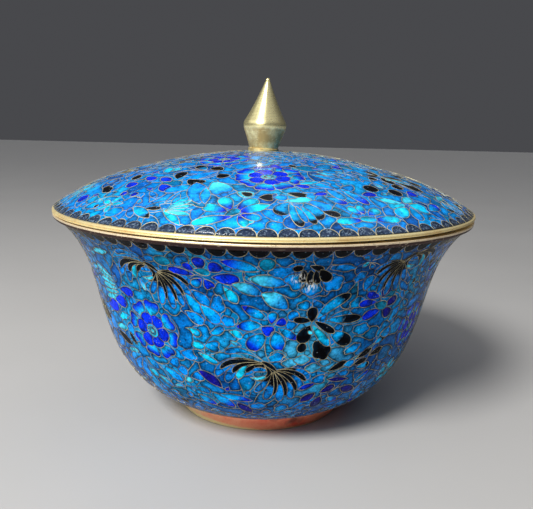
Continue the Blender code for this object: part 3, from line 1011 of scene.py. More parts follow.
def double_blossom(glass, angle, height, radius, outer=8):
    """Cobalt blossom of two rings round a pale button."""
    turn = glass.random.uniform(0.0, 45.0)
    glass.ring(angle, height, outer, radius * 0.46, radius, radius * 0.56, "heart_cobalt", "heart", turn)
    glass.ring(angle, height, 6, radius * 0.12, radius * 0.60, radius * 0.46, "cobalt", "petal", turn + 20.0)
    glass.button(angle, height, radius * 0.22, ("cyan", "teal", "pale"))


def star_flower(glass, angle, height, radius, colour="azure_cobalt", petals=6):
    """Open flower of pointed petals."""
    glass.ring(angle, height, petals, radius * 0.1, radius, radius * 0.40, colour, "leaf", 15.0)
    glass.button(angle, height, radius * 0.20, ("teal", "cyan"))


def small_blossom(glass, angle, height, radius):
    """Little blossom of five round petals."""
    glass.ring(angle, height, 5, radius * 0.15, radius, radius * 0.66, "cyan", "petal", 90.0)
    glass.button(angle, height, radius * 0.24, ("pale", "azure"))


def scallops(glass, count, height, drop, colour, upright, first):
    """Row of half-round cells along the edge at a height, opening away from the band."""
    glass.edged = len(glass.cells)
    pitch = 360.0 / count
    for step in range(count):
        at = glass.around(-180.0 + pitch * (step + first), height)
        reach = drop * glass.random.uniform(0.93, 1.07)
        width = pitch * math.radians(1.0) * 1000.0 * float(np.interp(height, glass.run, glass.radius))
        end = at(0.0, reach if upright else -reach)
        start = at(0.0, -reach if upright else reach)
        glass.draw(start, end, width * SCALLOP_SHARE * glass.random.uniform(0.97, 1.02), colour, "oval")


def front_of_bowl(glass):
    """The flowers of the bowl's front, from left to right."""
    # Left: crescent, chrysanthemum and the leaves above it
    glass.petals(
        (-141.0, 61.0, -133.0, 62.0, 2.2, "pale", "leaf"),
        (-131.5, 60.6, -120.5, 62.8, 2.4, "sky", "petal", 1.2),
        (-119.5, 62.4, -116.2, 62.9, 2.3, "azure", "oval"),
        (-116.5, 62.3, -111.8, 62.6, 3.2, "teal", "oval"),
    )
    glass.motif(CHRYSANTHEMUM, -119.6, 60.4, turn=4.0, size=0.92)
    # Left: blossom with cobalt petals and a lined fan beside it
    for step in range(7):
        lift = 47.2 + step * 1.0
        glass.petal(-135.2 - step * 0.3, lift, -144.5, 44.6 + step * 1.9, 1.5, "pale")
    glass.petals(
        (-134.6, 50.4, -128.4, 50.4, 3.0, "cobalt"),
        (-139.2, 46.4, -132.8, 46.9, 3.6, "cobalt"),
        (-145.5, 43.4, -138.2, 45.0, 3.8, "cobalt"),
    )
    double_blossom(glass, -123.7, 40.5, 8.9)
    glass.petals(
        (-139.5, 41.2, -133.8, 43.0, 2.4, "cyan", "leaf"),
        (-136.2, 34.4, -133.2, 40.8, 3.0, "sky"),
        (-143.0, 37.8, -136.0, 38.6, 2.2, "pale", "leaf"),
        (-143.5, 36.2, -136.0, 33.4, 2.6, "night", "leaf"),
        (-135.8, 37.6, -132.9, 34.2, 1.6, "night", "leaf"),
        (-133.4, 32.0, -139.4, 31.2, 1.9, "pale", "leaf"),
        (-132.6, 31.4, -140.5, 28.2, 2.6, "sky", "spear"),
        (-132.2, 30.6, -139.0, 24.8, 3.0, "azure", "spear"),
        (-131.6, 30.2, -133.8, 22.8, 3.4, "azure"),
        (-130.2, 31.0, -124.8, 28.4, 3.0, "sky"),
        (-130.8, 27.4, -127.0, 24.8, 2.8, "cyan"),
        (-126.4, 25.8, -121.4, 22.6, 2.4, "pale_azure", "leaf"),
        (-123.6, 30.2, -116.0, 25.8, 3.2, "sky"),
        (-119.8, 31.6, -115.0, 32.2, 3.6, "azure", "heart"),
        (-117.0, 29.8, -113.2, 30.0, 3.4, "azure"),
    )
    # Cobalt flower under the lip, and the leaves below it
    glass.petals(
        (-110.8, 61.6, -107.2, 64.6, 3.2, "azure", "oval"),
        (-98.8, 64.2, -95.4, 62.6, 2.4, "azure"),
        (-104.8, 60.6, -104.6, 64.9, 3.2, "cobalt"),
        (-102.6, 60.4, -99.8, 62.9, 3.4, "cobalt"),
        (-106.2, 60.2, -108.9, 62.2, 2.2, "cobalt"),
        (-106.4, 59.0, -113.4, 60.2, 2.3, "cobalt"),
        (-102.2, 58.7, -95.4, 58.2, 3.4, "cobalt"),
        (-105.0, 58.0, -107.6, 55.6, 2.6, "cobalt_azure"),
        (-104.2, 58.0, -102.4, 55.0, 2.8, "cobalt", "heart"),
        (-106.6, 60.6, -102.4, 59.8, 2.2, "teal"),
        (-108.4, 54.4, -102.8, 50.0, 3.0, "azure", "leaf"),
        (-110.2, 53.2, -105.2, 46.2, 3.0, "sky", "leaf"),
        (-101.4, 54.0, -101.6, 47.8, 3.8, "azure", "lobed"),
        (-99.6, 56.2, -96.2, 51.6, 2.8, "cyan", "spear"),
        (-106.2, 50.4, -101.2, 45.8, 3.4, "sky"),
        (-111.0, 48.2, -105.8, 45.2, 3.0, "azure"),
        (-100.8, 47.6, -97.2, 45.4, 3.2, "azure", "lobed"),
        (-111.6, 43.4, -107.4, 41.4, 2.2, "cyan", "club", 0.5),
        (-104.4, 42.8, -100.6, 45.0, 2.3, "sky", "petal", -0.6),
        (-98.8, 43.6, -95.6, 41.8, 2.0, "cyan", "petal", 0.6),
        (-110.2, 38.9, -106.2, 38.5, 2.5, "cyan", "oval"),
        (-106.4, 38.8, -101.2, 39.0, 3.3, "sky", "heart"),
        (-108.4, 36.6, -102.6, 33.8, 1.9, "cyan"),
        (-114.6, 36.0, -109.0, 36.2, 3.4, "azure", "heart", -0.6),
        (-112.4, 28.2, -107.6, 29.4, 3.2, "azure", "heart"),
        (-109.6, 31.0, -102.2, 25.8, 3.0, "deep", "leaf", 0.5),
        (-115.2, 27.2, -112.0, 26.8, 2.2, "pale", "lobed"),
        (-111.8, 24.6, -106.6, 23.6, 2.4, "sky"),
        (-112.0, 21.6, -105.6, 17.8, 3.0, "azure_cobalt", "leaf"),
        (-106.2, 23.6, -98.6, 17.6, 3.4, "azure_cobalt", "leaf"),
        (-103.6, 23.2, -92.4, 21.4, 2.7, "azure_cobalt", "leaf"),
        (-97.8, 20.2, -92.6, 14.8, 2.8, "deep", "leaf"),
    )
    # Middle: pale leaves, then a flower of pointed petals
    glass.petals(
        (-89.4, 61.4, -88.6, 65.6, 3.8, "teal", "oval"),
        (-99.6, 64.0, -90.6, 61.2, 3.3, "cobalt_azure", "leaf", 0.3),
        (-84.6, 62.6, -80.4, 63.8, 2.0, "azure"),
        (-93.4, 58.8, -83.8, 57.2, 3.6, "pale_azure", "leaf", 0.3),
        (-97.4, 57.0, -89.8, 54.2, 3.2, "pale_azure", "leaf", 0.2),
        (-90.2, 54.6, -83.2, 50.2, 4.2, "pale_azure", "leaf", 0.4),
        (-83.2, 48.4, -80.0, 48.4, 3.0, "azure", "oval"),
        (-81.2, 51.0, -76.8, 51.4, 2.8, "sky", "lobed"),
        (-88.6, 47.4, -95.2, 51.0, 2.6, "azure_cobalt", "leaf"),
        (-89.8, 45.8, -96.8, 45.2, 3.0, "azure_cobalt", "leaf"),
        (-88.8, 43.6, -93.4, 38.9, 4.2, "azure_cobalt"),
        (-86.2, 44.2, -84.6, 38.0, 3.7, "azure_cobalt", "leaf"),
        (-85.4, 45.0, -79.6, 41.6, 2.2, "azure_cobalt", "leaf"),
        (-86.2, 46.0, -83.4, 47.2, 2.4, "cobalt"),
        (-87.4, 46.2, -86.8, 49.6, 2.4, "cobalt_azure"),
        (-90.0, 45.4, -86.6, 43.4, 3.0, "cobalt", "heart"),
    )
    glass.motif(CLOUD, -82.4, 35.4, turn=-8.0, size=1.05)
    glass.motif(CLOUD, -75.0, 33.6, turn=-6.0, size=1.1)
    glass.petals(
        (-88.0, 35.8, -83.2, 37.4, 3.0, "sky", "lobed"),
    )
    glass.motif(CHRYSANTHEMUM, -88.9, 34.6, size=1.0)
    glass.petals(
        (-94.0, 18.8, -87.4, 18.8, 3.4, "azure", "lobed"),
        (-84.2, 15.6, -80.6, 19.4, 3.2, "sky"),
        (-88.6, 14.4, -86.6, 16.6, 2.2, "azure"),
    )
    # Right: half flower, butterfly and the leaves below it
    glass.motif(HALF_FLOWER, -77.4, 60.9)
    glass.petals(
        (-67.0, 57.4, -63.6, 60.0, 3.0, "azure", "lobed"),
        (-62.4, 54.2, -61.6, 58.8, 3.2, "azure"),
        (-66.2, 50.2, -61.4, 51.8, 3.4, "sky", "lobed"),
    )
    glass.motif(BUTTERFLY, -75.6, 45.0)
    glass.petals(
        (-63.6, 43.4, -57.0, 42.6, 3.6, "sky", "lobed"),
        (-64.8, 36.4, -59.0, 38.4, 3.0, "sky", "lobed"),
        (-74.2, 28.6, -68.6, 29.0, 3.2, "azure", "heart"),
        (-77.6, 25.8, -72.2, 27.6, 1.9, "cobalt", "leaf"),
        (-68.2, 28.4, -60.0, 27.4, 1.6, "deep", "leaf"),
        (-69.4, 23.6, -64.6, 25.8, 2.8, "deep"),
        (-75.8, 20.4, -71.2, 23.8, 3.0, "deep", "leaf"),
        (-68.9, 22.2, -69.4, 16.8, 3.2, "deep"),
        (-76.6, 17.6, -72.6, 17.2, 3.0, "azure", "heart"),
        (-65.6, 20.8, -60.2, 18.6, 2.6, "azure_cobalt", "leaf"),
        (-61.8, 24.4, -54.4, 21.8, 3.0, "deep", "leaf"),
    )
    glass.motif(LEAF_SPRAY, -68.6, 31.4, turn=-4.0, size=1.05)
    # Far right: blossom in the shade and a chrysanthemum above it
    glass.petals(
        (-57.0, 50.4, -63.0, 50.4, 2.3, "cobalt"),
        (-56.2, 51.6, -61.2, 53.2, 2.3, "cobalt"),
        (-55.2, 51.4, -54.0, 54.8, 3.4, "deep", "heart"),
        (-54.6, 48.0, -60.8, 46.2, 2.8, "cobalt"),
        (-53.2, 48.8, -48.8, 50.6, 2.8, "deep"),
        (-53.6, 48.0, -50.0, 45.6, 3.0, "deep"),
        (-57.6, 49.8, -52.4, 48.6, 2.7, "teal"),
    )
    glass.motif(CHRYSANTHEMUM, -50.4, 64.2, size=0.92, mirror=True)
    glass.petals(
        (-49.6, 43.2, -46.2, 47.6, 3.0, "sky", "lobed"),
        (-51.8, 40.0, -47.0, 40.4, 3.0, "sky"),
    )


def front_of_lid(glass):
    """The flowers of the lid's front, from left to right."""
    # Left of the front
    glass.petals(
        (-147.0, 13.6, -139.4, 11.4, 3.0, "night", "lobed"),
        (-144.6, 22.8, -139.8, 19.6, 2.8, "night"),
        (-150.0, 7.2, -145.2, 6.4, 3.4, "cobalt"),
        (-137.4, 22.4, -130.6, 20.8, 2.8, "cobalt"),
        (-139.0, 17.8, -133.8, 15.8, 3.2, "cobalt"),
        (-133.6, 12.9, -131.6, 11.4, 2.0, "cobalt"),
        (-129.2, 13.2, -127.4, 11.4, 2.2, "cobalt"),
        (-129.8, 23.0, -122.8, 20.8, 2.8, "cobalt", "leaf"),
        (-124.4, 18.8, -118.8, 15.4, 3.2, "cobalt"),
    )
    star_flower(glass, -131.8, 6.9, 4.0, "cyan", 5)
    glass.petals(
        (-136.2, 27.4, -130.4, 30.4, 3.4, "pale"),
        (-139.6, 30.6, -132.0, 26.2, 2.8, "cyan", "leaf"),
        (-129.8, 3.4, -125.2, 5.2, 3.8, "sky", "oval"),
        (-124.2, 14.4, -119.4, 11.4, 1.7, "ground", "leaf"),
        (-124.0, 6.6, -121.0, 3.2, 2.2, "ground", "leaf"),
        (-123.2, 7.2, -116.2, 3.8, 2.8, "azure_night", "leaf"),
        (-119.4, 7.0, -115.2, 7.6, 1.5, "night"),
        (-114.6, 7.6, -107.8, 2.2, 2.2, "cyan", "leaf"),
    )
    # Wing of long petals with dark tips
    glass.petals(
        (-116.8, 31.0, -125.6, 33.8, 2.8, "half_night"),
        (-112.6, 29.0, -126.4, 27.6, 3.4, "azure"),
        (-122.0, 22.8, -125.6, 28.2, 3.2, "night"),
        (-109.0, 31.4, -115.6, 33.4, 3.2, "night"),
        (-109.6, 30.2, -119.0, 22.2, 4.2, "azure"),
        (-110.4, 20.0, -119.6, 15.0, 4.0, "sky"),
        (-117.4, 23.2, -109.2, 21.2, 4.0, "night", "heart", -0.8),
        (-113.0, 21.4, -106.2, 10.4, 5.2, "azure", "leaf"),
        (-107.6, 22.6, -100.6, 15.2, 5.6, "pale_azure", "heart"),
        (-108.4, 28.2, -104.6, 25.8, 3.4, "night"),
        (-113.9, 14.4, -112.6, 9.0, 1.9, "ground"),
    )
    for angle, height, colour in ((-110.6, 13.4, "cyan"), (-108.8, 11.9, "pale"), (-107.5, 10.0, "pale"),
                                  (-107.0, 8.0, "cyan"), (-106.9, 6.0, "pale")):
        glass.petal(-113.7, 6.6, angle, height, 1.6, colour, "spear")
    glass.petals(
        (-107.8, 18.4, -104.8, 10.6, 2.6, "sky", "leaf"),
    )
    # Open flower with cobalt hearts
    glass.petals(
        (-97.8, 8.8, -101.2, 14.0, 3.4, "cobalt_cyan"),
        (-96.4, 9.2, -91.6, 13.4, 3.6, "cobalt_cyan"),
        (-95.8, 7.8, -88.4, 11.2, 3.2, "cobalt_cyan", "leaf"),
        (-98.4, 8.0, -105.4, 9.8, 3.2, "cobalt_cyan", "heart"),
        (-97.0, 6.2, -105.6, 3.0, 3.0, "cobalt_cyan"),
        (-95.8, 6.4, -92.6, 3.2, 3.6, "cobalt_cyan", "heart"),
        (-95.4, 7.0, -90.6, 5.6, 2.6, "cobalt_azure"),
        (-98.8, 6.4, -95.6, 8.8, 2.5, "teal"),
    )
    # Large blossom on the shoulder
    glass.petals(
        (-97.8, 17.0, -93.0, 15.0, 3.6, "pale"),
        (-96.4, 16.8, -93.4, 15.2, 2.1, "night"),
        (-91.4, 14.4, -87.2, 14.6, 3.2, "night", "heart"),
        (-87.6, 14.6, -83.6, 14.4, 3.0, "sky"),
        (-83.4, 16.8, -77.6, 15.2, 2.5, "night", "heart"),
    )
    double_blossom(glass, -88.4, 27.2, 9.2, outer=9)
    glass.petals(
        (-80.4, 30.4, -76.2, 33.6, 4.6, "heart_cobalt", "heart"),
        (-79.6, 26.0, -75.0, 27.0, 4.2, "heart_cobalt"),
        (-80.4, 21.6, -75.4, 20.4, 2.6, "cobalt"),
        (-88.0, 35.2, -81.6, 37.2, 3.4, "cobalt", "heart"),
        (-76.0, 16.0, -71.6, 16.8, 2.0, "cobalt"),
    )
    # Fan flower and the open flower beside it
    glass.motif(FAN_FLOWER, -82.0, 12.4)
    glass.petals(
        (-73.2, 15.2, -68.2, 11.4, 2.8, "azure_cobalt"),
        (-65.8, 19.4, -62.0, 10.8, 3.0, "azure_cobalt"),
        (-70.6, 20.4, -68.0, 13.2, 3.0, "ground"),
        (-76.6, 25.0, -67.4, 18.6, 2.8, "sky", "leaf"),
        (-78.4, 22.2, -70.0, 24.0, 2.0, "cyan", "leaf"),
        (-66.6, 6.8, -68.8, 10.2, 2.4, "cobalt_cyan"),
        (-65.8, 7.0, -65.6, 10.8, 2.2, "cobalt_cyan"),
        (-64.8, 6.6, -60.6, 8.6, 2.6, "cobalt_cyan"),
        (-67.0, 5.0, -73.8, 4.6, 2.5, "cobalt_cyan"),
        (-64.4, 4.8, -57.0, 4.4, 2.6, "cobalt_cyan"),
        (-67.8, 5.4, -63.4, 4.8, 2.1, "cyan", "oval"),
    )
    # Right: pale wings, dark rounds and cobalt petals
    glass.petals(
        (-50.2, 9.6, -57.2, 10.6, 4.6, "cyan", "heart"),
        (-50.8, 8.4, -56.6, 5.6, 3.8, "cyan"),
        (-49.4, 8.6, -50.8, 3.2, 3.4, "sky"),
        (-49.0, 9.4, -43.4, 6.2, 4.4, "cyan", "heart"),
        (-49.8, 10.4, -44.0, 12.4, 2.8, "pale", "leaf"),
        (-50.8, 10.4, -57.8, 13.2, 2.4, "pale", "leaf"),
        (-56.6, 17.4, -51.6, 19.8, 3.9, "night", "oval"),
        (-49.0, 15.2, -44.4, 15.8, 3.8, "night", "oval"),
        (-43.0, 17.8, -38.6, 18.6, 3.2, "night", "oval"),
        (-46.4, 24.4, -42.0, 24.8, 2.4, "night"),
        (-61.0, 15.2, -55.6, 15.6, 2.6, "cobalt"),
        (-42.8, 13.4, -38.0, 14.4, 3.0, "cobalt"),
        (-43.4, 6.4, -37.2, 7.4, 3.2, "azure_cobalt"),
        (-53.0, 35.0, -47.2, 34.2, 3.2, "cobalt"),
        (-70.8, 29.6, -62.0, 24.0, 2.6, "sky", "leaf"),
        (-66.6, 31.0, -58.8, 27.0, 2.4, "pale_azure", "leaf"),
    )


# What grows on the hidden sides: flowers with their smallest and largest radius, and drawings
GROWN = {
    "double": (double_blossom, 7.2, 8.6),
    "star": (star_flower, 6.0, 7.2),
    "small": (small_blossom, 4.0, 5.0),
}
DRAWN = {
    "chrysanthemum": CHRYSANTHEMUM,
    "butterfly": BUTTERFLY,
    "half": HALF_FLOWER,
    "fan": FAN_FLOWER,
    "spray": LEAF_SPRAY,
}


def hidden_garden(glass, rows):
    """Flowers of the sides and back, in rows of height, first angle, last angle and kinds."""
    uniform = glass.random.uniform
    for height, first, last, names in rows:
        kinds = names.split()
        for step, kind in enumerate(kinds):
            angle = first + (last - first) * step / (len(kinds) - 1) + uniform(-1.5, 1.5)
            level = height + uniform(-1.2, 1.2)
            turn = uniform(-8.0, 8.0)
            if kind in GROWN:
                flower, least, most = GROWN[kind]
                flower(glass, angle, level, uniform(least, most))
            else:
                glass.motif(DRAWN[kind], angle, level, turn, uniform(0.86, 1.0), step % 2 == 1)


UNDERLAY = (
    ("leaf", "ground", 1.7, 0.40),
    ("leaf", "light_ground", 1.5, 0.42),
    ("petal", "deep_ground", 1.3, 0.50),
    ("heart", "ground", 1.0, 0.80),
    ("lobed", "light_ground", 0.9, 0.85),
    ("cloud", "teal_ground", 1.1, 0.70),
    ("spear", "ground", 1.7, 0.36),
    ("lobed", "ground", 1.0, 0.80),
    ("leaf", "deep_ground", 1.5, 0.40),
    ("cloud", "ground", 1.1, 0.75),
    ("leaf", "azure", 1.1, 0.42),
    ("club", "teal_ground", 1.3, 0.50),
)


def underlay(glass, pitch):
    """Leaves in the colours of the ground all over, so that wires run on between the flowers."""
    rows = round(glass.run[-1] / pitch)
    for row in range(rows + 1):
        level = glass.run[-1] * row / rows
        radius = 1000.0 * float(np.interp(level, glass.run, glass.radius))
        count = max(3, round(math.tau * radius / pitch))
        for step in range(count):
            angle = 360.0 * (step + 0.5 * (row % 2) + glass.random.uniform(-0.3, 0.3)) / count - 180.0
            height = level + glass.random.uniform(-0.3, 0.3) * pitch
            outline, colour, length, width = glass.random.choice(UNDERLAY)
            length *= pitch * glass.random.uniform(0.85, 1.15)
            turn = math.radians(angle)
            flow = noise.noise(Vector((math.cos(turn), math.sin(turn), height / 30.0)) * 1.6)
            half = cmath.rect(length / 2, math.tau * flow + glass.random.uniform(-0.8, 0.8))
            at = glass.around(angle, height)
            base = at(-half.real, -half.imag)
            tip = at(half.real, half.imag)
            bend = (base + tip) / 2 + 1j * (tip - base) * glass.random.uniform(-0.2, 0.2)
            glass.draw(base, tip, length * width, colour, outline, bend)
    glass.underlaid = len(glass.cells)
    glass.discs.clear()


FILL_GROUPS = (
    (
        ((0.0, 0.3), (-2.8, 1.6), 1.9, "azure", "petal"),
        ((0.3, 0.2), (2.9, 1.2), 1.9, "sky", "petal"),
        ((0.0, -0.3), (0.3, -2.9), 1.9, "azure", "petal"),
    ),
    (
        ((-0.4, 0.0), (-3.6, 0.9), 1.8, "sky", "club"),
        ((0.2, 0.3), (1.4, 3.2), 1.8, "azure", "club"),
        ((0.3, -0.3), (3.0, -1.8), 1.8, "azure", "club"),
        ((-0.2, -0.4), (-0.8, -2.8), 1.5, "cyan", "oval"),
    ),
    (
        ((-0.2, 0.0), (-4.4, 1.2), 1.9, "sky", "leaf"),
        ((0.2, -0.2), (4.0, -1.6), 1.9, "azure", "leaf"),
        ((0.0, 0.4), (1.2, 3.6), 1.6, "azure_cobalt", "leaf"),
    ),
    (
        ((-0.3, 0.1), (-3.8, -0.6), 1.9, "azure", "lobed"),
        ((0.4, 0.2), (3.6, 1.4), 1.9, "sky", "lobed"),
    ),
)
FILLERS = (
    ("leaf", "sky", 1.0, 0.42),
    ("petal", "azure", 0.8, 0.55),
    ("heart", "azure", 0.8, 0.75),
    ("lobed", "sky", 0.9, 0.80),
    ("leaf", "azure_cobalt", 1.1, 0.42),
    ("oval", "cyan", 0.6, 0.70),
    ("club", "azure", 0.9, 0.60),
    ("leaf", "pale_azure", 1.1, 0.42),
    ("petal", "cobalt", 0.8, 0.50),
    ("cloud", "light_ground", 0.9, 0.80),
    ("petal", "night", 0.6, 0.55),
)


def fill_groups(glass, tries, lowest, highest, gap):
    """Small sprigs wherever the glass has room for a whole one."""
    for _ in range(tries):
        group = glass.random.choice(FILL_GROUPS)
        size = glass.random.uniform(0.75, 1.1)
        angle = glass.random.uniform(-180.0, 180.0)
        height = glass.random.uniform(lowest, highest)
        at = glass.around(angle, height, glass.random.uniform(0.0, 360.0), size)
        pieces = [(at(*start), at(*end), width * size, *look) for start, end, width, *look in group]
        if all(glass.room(base, tip, width, gap) for base, tip, width, *_ in pieces):
            for piece in pieces:
                glass.draw(*piece)


def fill_gaps(glass, tries, lowest, highest, longest, gap):
    """Small leaves wherever the glass still has room, large ones first."""
    for turn in range(tries):
        angle = glass.random.uniform(-180.0, 180.0)
        height = glass.random.uniform(lowest, highest)
        outline, colour, stretch, width = glass.random.choice(FILLERS)
        size = longest * (1.0 - 0.55 * turn / tries) * glass.random.uniform(0.8, 1.1)
        way = math.radians(glass.random.uniform(0.0, 360.0))
        half = 0.5 * size * stretch * cmath.rect(1.0, way)
        at = glass.around(angle, height)
        base = at(-half.real, -half.imag)
        tip = at(half.real, half.imag)
        if glass.room(base, tip, size * width, gap):
            bend = (base + tip) / 2 + 1j * (tip - base) * glass.random.uniform(-0.16, 0.16)
            glass.draw(base, tip, size * width, colour, outline, bend)


def bent(start, middle, end, steps):
    """Points of a curve from start to end that is drawn towards a middle point."""
    points = []
    for step in range(steps + 1):
        u = step / steps
        points.append(start * (1 - u) ** 2 + middle * 2 * u * (1 - u) + end * u * u)
    return points


def soften(corners, closed):
    """Outline through corners given as (radius, height, rounding), each corner eased by an arc."""
    outline = []
    for index, (x, y, rounding) in enumerate(corners):
        here = Vector((x, y))
        if rounding == 0.0 or (not closed and index in (0, len(corners) - 1)):
            outline.append(here)
            continue
        before = Vector(corners[index - 1][:2])
        after = Vector(corners[(index + 1) % len(corners)][:2])
        arrive = here + (before - here).normalized() * rounding
        leave = here + (after - here).normalized() * rounding
        outline += bent(arrive, here, leave, 5)
    return outline


def turn_piece(name, outline, material, steps, closed, place=None, wobble=0.0, raised=None):
    """An outline of (radius, height) turned about the axis, hand-made by a slight wobble.

    raised gives how far a point is lifted, from its way out of the axis and its place in the outline.
    """
    points = []
    rings = []
    for spot in outline:
        if spot.x < ON_AXIS:
            rings.append([len(points)] * steps)
            points.append(Vector((0.0, 0.0, spot.y)))
            continue
        rings.append(list(range(len(points), len(points) + steps)))
        for step in range(steps):
            turn = math.tau * step / steps
            way = Vector((math.cos(turn), math.sin(turn), 0.0))
            uneven = noise.noise(way * 2.6 + Vector((0.0, 0.0, spot.y * 300.0))) * wobble
            lift = raised(way, spot) if raised else 0.0
            points.append(way * (spot.x + uneven) + Vector((0.0, 0.0, spot.y + lift)))
    pairs = list(zip(rings, rings[1:])) + ([(rings[-1], rings[0])] if closed else [])
    faces = []
    for low, high in pairs:
        for step in range(steps):
            after = (step + 1) % steps
            corners = [low[step], low[after], high[after], high[step]]
            faces.append([corner for index, corner in enumerate(corners) if corner != corners[index - 1]])
    mesh = bpy.data.meshes.new(name)
    mesh.from_pydata(points, [], faces)
    face_outwards(mesh)
    if place is not None:
        mesh.transform(place)
    piece = link_mesh(name, mesh, material)
    mesh.set_sharp_from_angle(angle=math.radians(SHARP_ANGLE))
    return piece


def build_foot_ring(material):
    """Copper ring under the bowl, its standing edge rubbed round."""
    top = BOWL_FOOT_RADIUS
    bottom = top - FOOT_INWARD_FLARE
    high = UNDERSIDE + 0.00005
    corners = (
        (top - FOOT_WALL, high, 0.0),
        (top + 0.00005, high, 0.0),
        (top - 0.0001, FOOT_HEIGHT * 0.9, 0.0003),
        (top - 0.0011, FOOT_HEIGHT * 0.52, 0.0010),
        (bottom, 0.0, 0.0005),
        (bottom - FOOT_WALL, 0.0, 0.0003),
    )
    outline = soften(corners, closed=True)
    return turn_piece("foot_ring_copper", outline, material, steps=192, closed=True, wobble=FOOT_WOBBLE)


def build_bowl_rim(material):
    """Gilt bead laid on the lip of the bowl, and the bare strip under it that the enamel stops at."""
    inner = bowl_hollow(12)[0].x
    outer = BOWL_LIP_RADIUS + BOWL_RIM_OVERHANG
    low = LIP_HEIGHT - 0.0001
    wall = direction(BOWL_LIP_SLOPE)
    lip = Vector((BOWL_LIP_RADIUS, LIP_HEIGHT)) + Vector((wall.y, -wall.x)) * BARE_SHADED_STRIP_THICKNESS
    strip_end = lip - wall * BARE_SHADED_STRIP_WIDTH
    corners = (
        (inner, low, 0.0),
        (inner, RIM_TOP, 0.0002),
        (outer, RIM_TOP, 0.00022),
        (outer, RIM_TOP - 0.0007, 0.0003),
        (outer - 0.0004, LIP_HEIGHT + 0.00015, 0.0001),
        (lip.x, lip.y, 0.00005),
        (strip_end.x, strip_end.y, 0.00005),
        (strip_end.x - 2.0 * BARE_SHADED_STRIP_THICKNESS, strip_end.y + BARE_SHADED_STRIP_THICKNESS, 0.0),
        (BOWL_LIP_RADIUS - 0.0006, low - 0.0003, 0.0),
    )
    outline = soften(corners, closed=True)
    return turn_piece("bowl_rim_gilt", outline, material, steps=256, closed=True, wobble=BAND_WOBBLE)


def build_lid_rim(material):
    """Gilt band under the dome's edge, with the ring that keeps the lid centred in the mouth."""
    hollow = bowl_hollow(12)[::-1]
    ring_outer = radius_at(hollow, RIM_TOP - LID_SEAT_DEPTH) - LID_SEAT_CLEARANCE
    ring_inner = ring_outer - LID_SEAT_WALL
    high = LID_BASE - 0.00015
    low = 0.00003
    groove = low + 0.00036

    def rubbed(way, spot):
        """The band's lower edge, rubbed thinner towards the right."""
        share = min(max((high - spot.y) / (high - low), 0.0), 1.0)
        return 0.0004 * share * max(way.x, 0.0) ** 1.5

    corners = (
        (ring_inner, high, 0.0),
        (LID_RADIUS - 0.0007, high, 0.0),
        (LID_RADIUS, high - 0.0002, 0.00045),
        (LID_RADIUS, groove + 0.0001, 0.00006),
        (LID_RADIUS - 0.00018, groove, 0.00004),
        (LID_RADIUS, groove - 0.0001, 0.00006),
        (LID_RADIUS, low, 0.0001),
        (ring_outer, low, 0.0),
        (ring_outer, -LID_SEAT_DEPTH, 0.0002),
        (ring_inner, -LID_SEAT_DEPTH, 0.0002),
    )
    outline = soften(corners, closed=True)
    return turn_piece("lid_rim_gilt", outline, material, steps=256, closed=True, place=lid_seat(),
                      wobble=BAND_WOBBLE, raised=rubbed)


# Degrees from the top of the finial's ball to where it meets the neck
BALL_SWEEP = 112.0


def finial_outline():
    """The finial from the top of its ball down to the middle of its underside."""
    ball = FINIAL_HEIGHT - FINIAL_BALL_RADIUS
    outline = [Vector((0.0, FINIAL_HEIGHT))]
    for step in range(1, 11):
        turn = math.radians(BALL_SWEEP * step / 10)
        across = FINIAL_BALL_RADIUS * math.sin(turn)
        outline.append(Vector((across, ball + FINIAL_BALL_RADIUS * math.cos(turn))))
    neck = Vector((FINIAL_NECK_RADIUS, ball - FINIAL_BALL_RADIUS))
    high = Vector((FINIAL_SHOULDER_RADIUS, FINIAL_SHOULDER_RISE + FINIAL_SHOULDER_BELT / 2))
    low = Vector((FINIAL_SHOULDER_RADIUS, FINIAL_SHOULDER_RISE - FINIAL_SHOULDER_BELT / 2))
    base = Vector((FINIAL_BASE_RADIUS, -0.0001))
    cone = (neck - high).normalized()
    hollow = Vector((cone.y, -cone.x)) * FINIAL_CONE_HOLLOW * 1.6
    upper_end = high + cone * FINIAL_SHOULDER_EASE
    outline += bent(neck, neck.lerp(upper_end, 0.62) - hollow, upper_end, 12)
    lower_end = low + (base - low).normalized() * FINIAL_SHOULDER_EASE
    belt = [(*upper_end, 0.0), (*high, 0.0005), (*low, 0.0005), (*lower_end, 0.0)]
    outline += soften(belt, closed=False)[1:]
    outline.append(lower_end.lerp(base, 0.5) - Vector((0.00012, 0.0)))
    flare = FINIAL_BASE_RADIUS + FINIAL_BASE_FLARE
    outline += [base + Vector((0.0, 0.0006)), Vector((flare, 0.0003)), Vector((flare, -0.0007))]
    return outline + [Vector((0.0, -0.0007))]


SURFACE = {"Colour": COLOUR, "Roughness": FLOAT, "Height": FLOAT}
MILKY_GLASS = (0.12, 0.74, 0.96, 1.0)
PALE_SPECK = (0.30, 0.42, 0.52, 1.0)
PIT_DIRT = (0.006, 0.010, 0.016, 1.0)
# Colour of the painted shade beside the wires, partly pits
SEAM_SHADE = (0.001, 0.010, 0.024, 1.0)
# Pale of the rubbed streaks, partly a painted highlight of glints
RUBBED_GLASS_AND_GLINT = (0.86, 0.88, 0.86, 1.0)
BRIGHT_COPPER = opaque(255, 170, 132)
RED_COPPER = opaque(240, 98, 74)
# Gold of the worn gilt low on the left, partly a painted highlight
GILDING_AND_HIGHLIGHT = opaque(255, 232, 172)
DARK_SMUDGE = opaque(92, 54, 50)


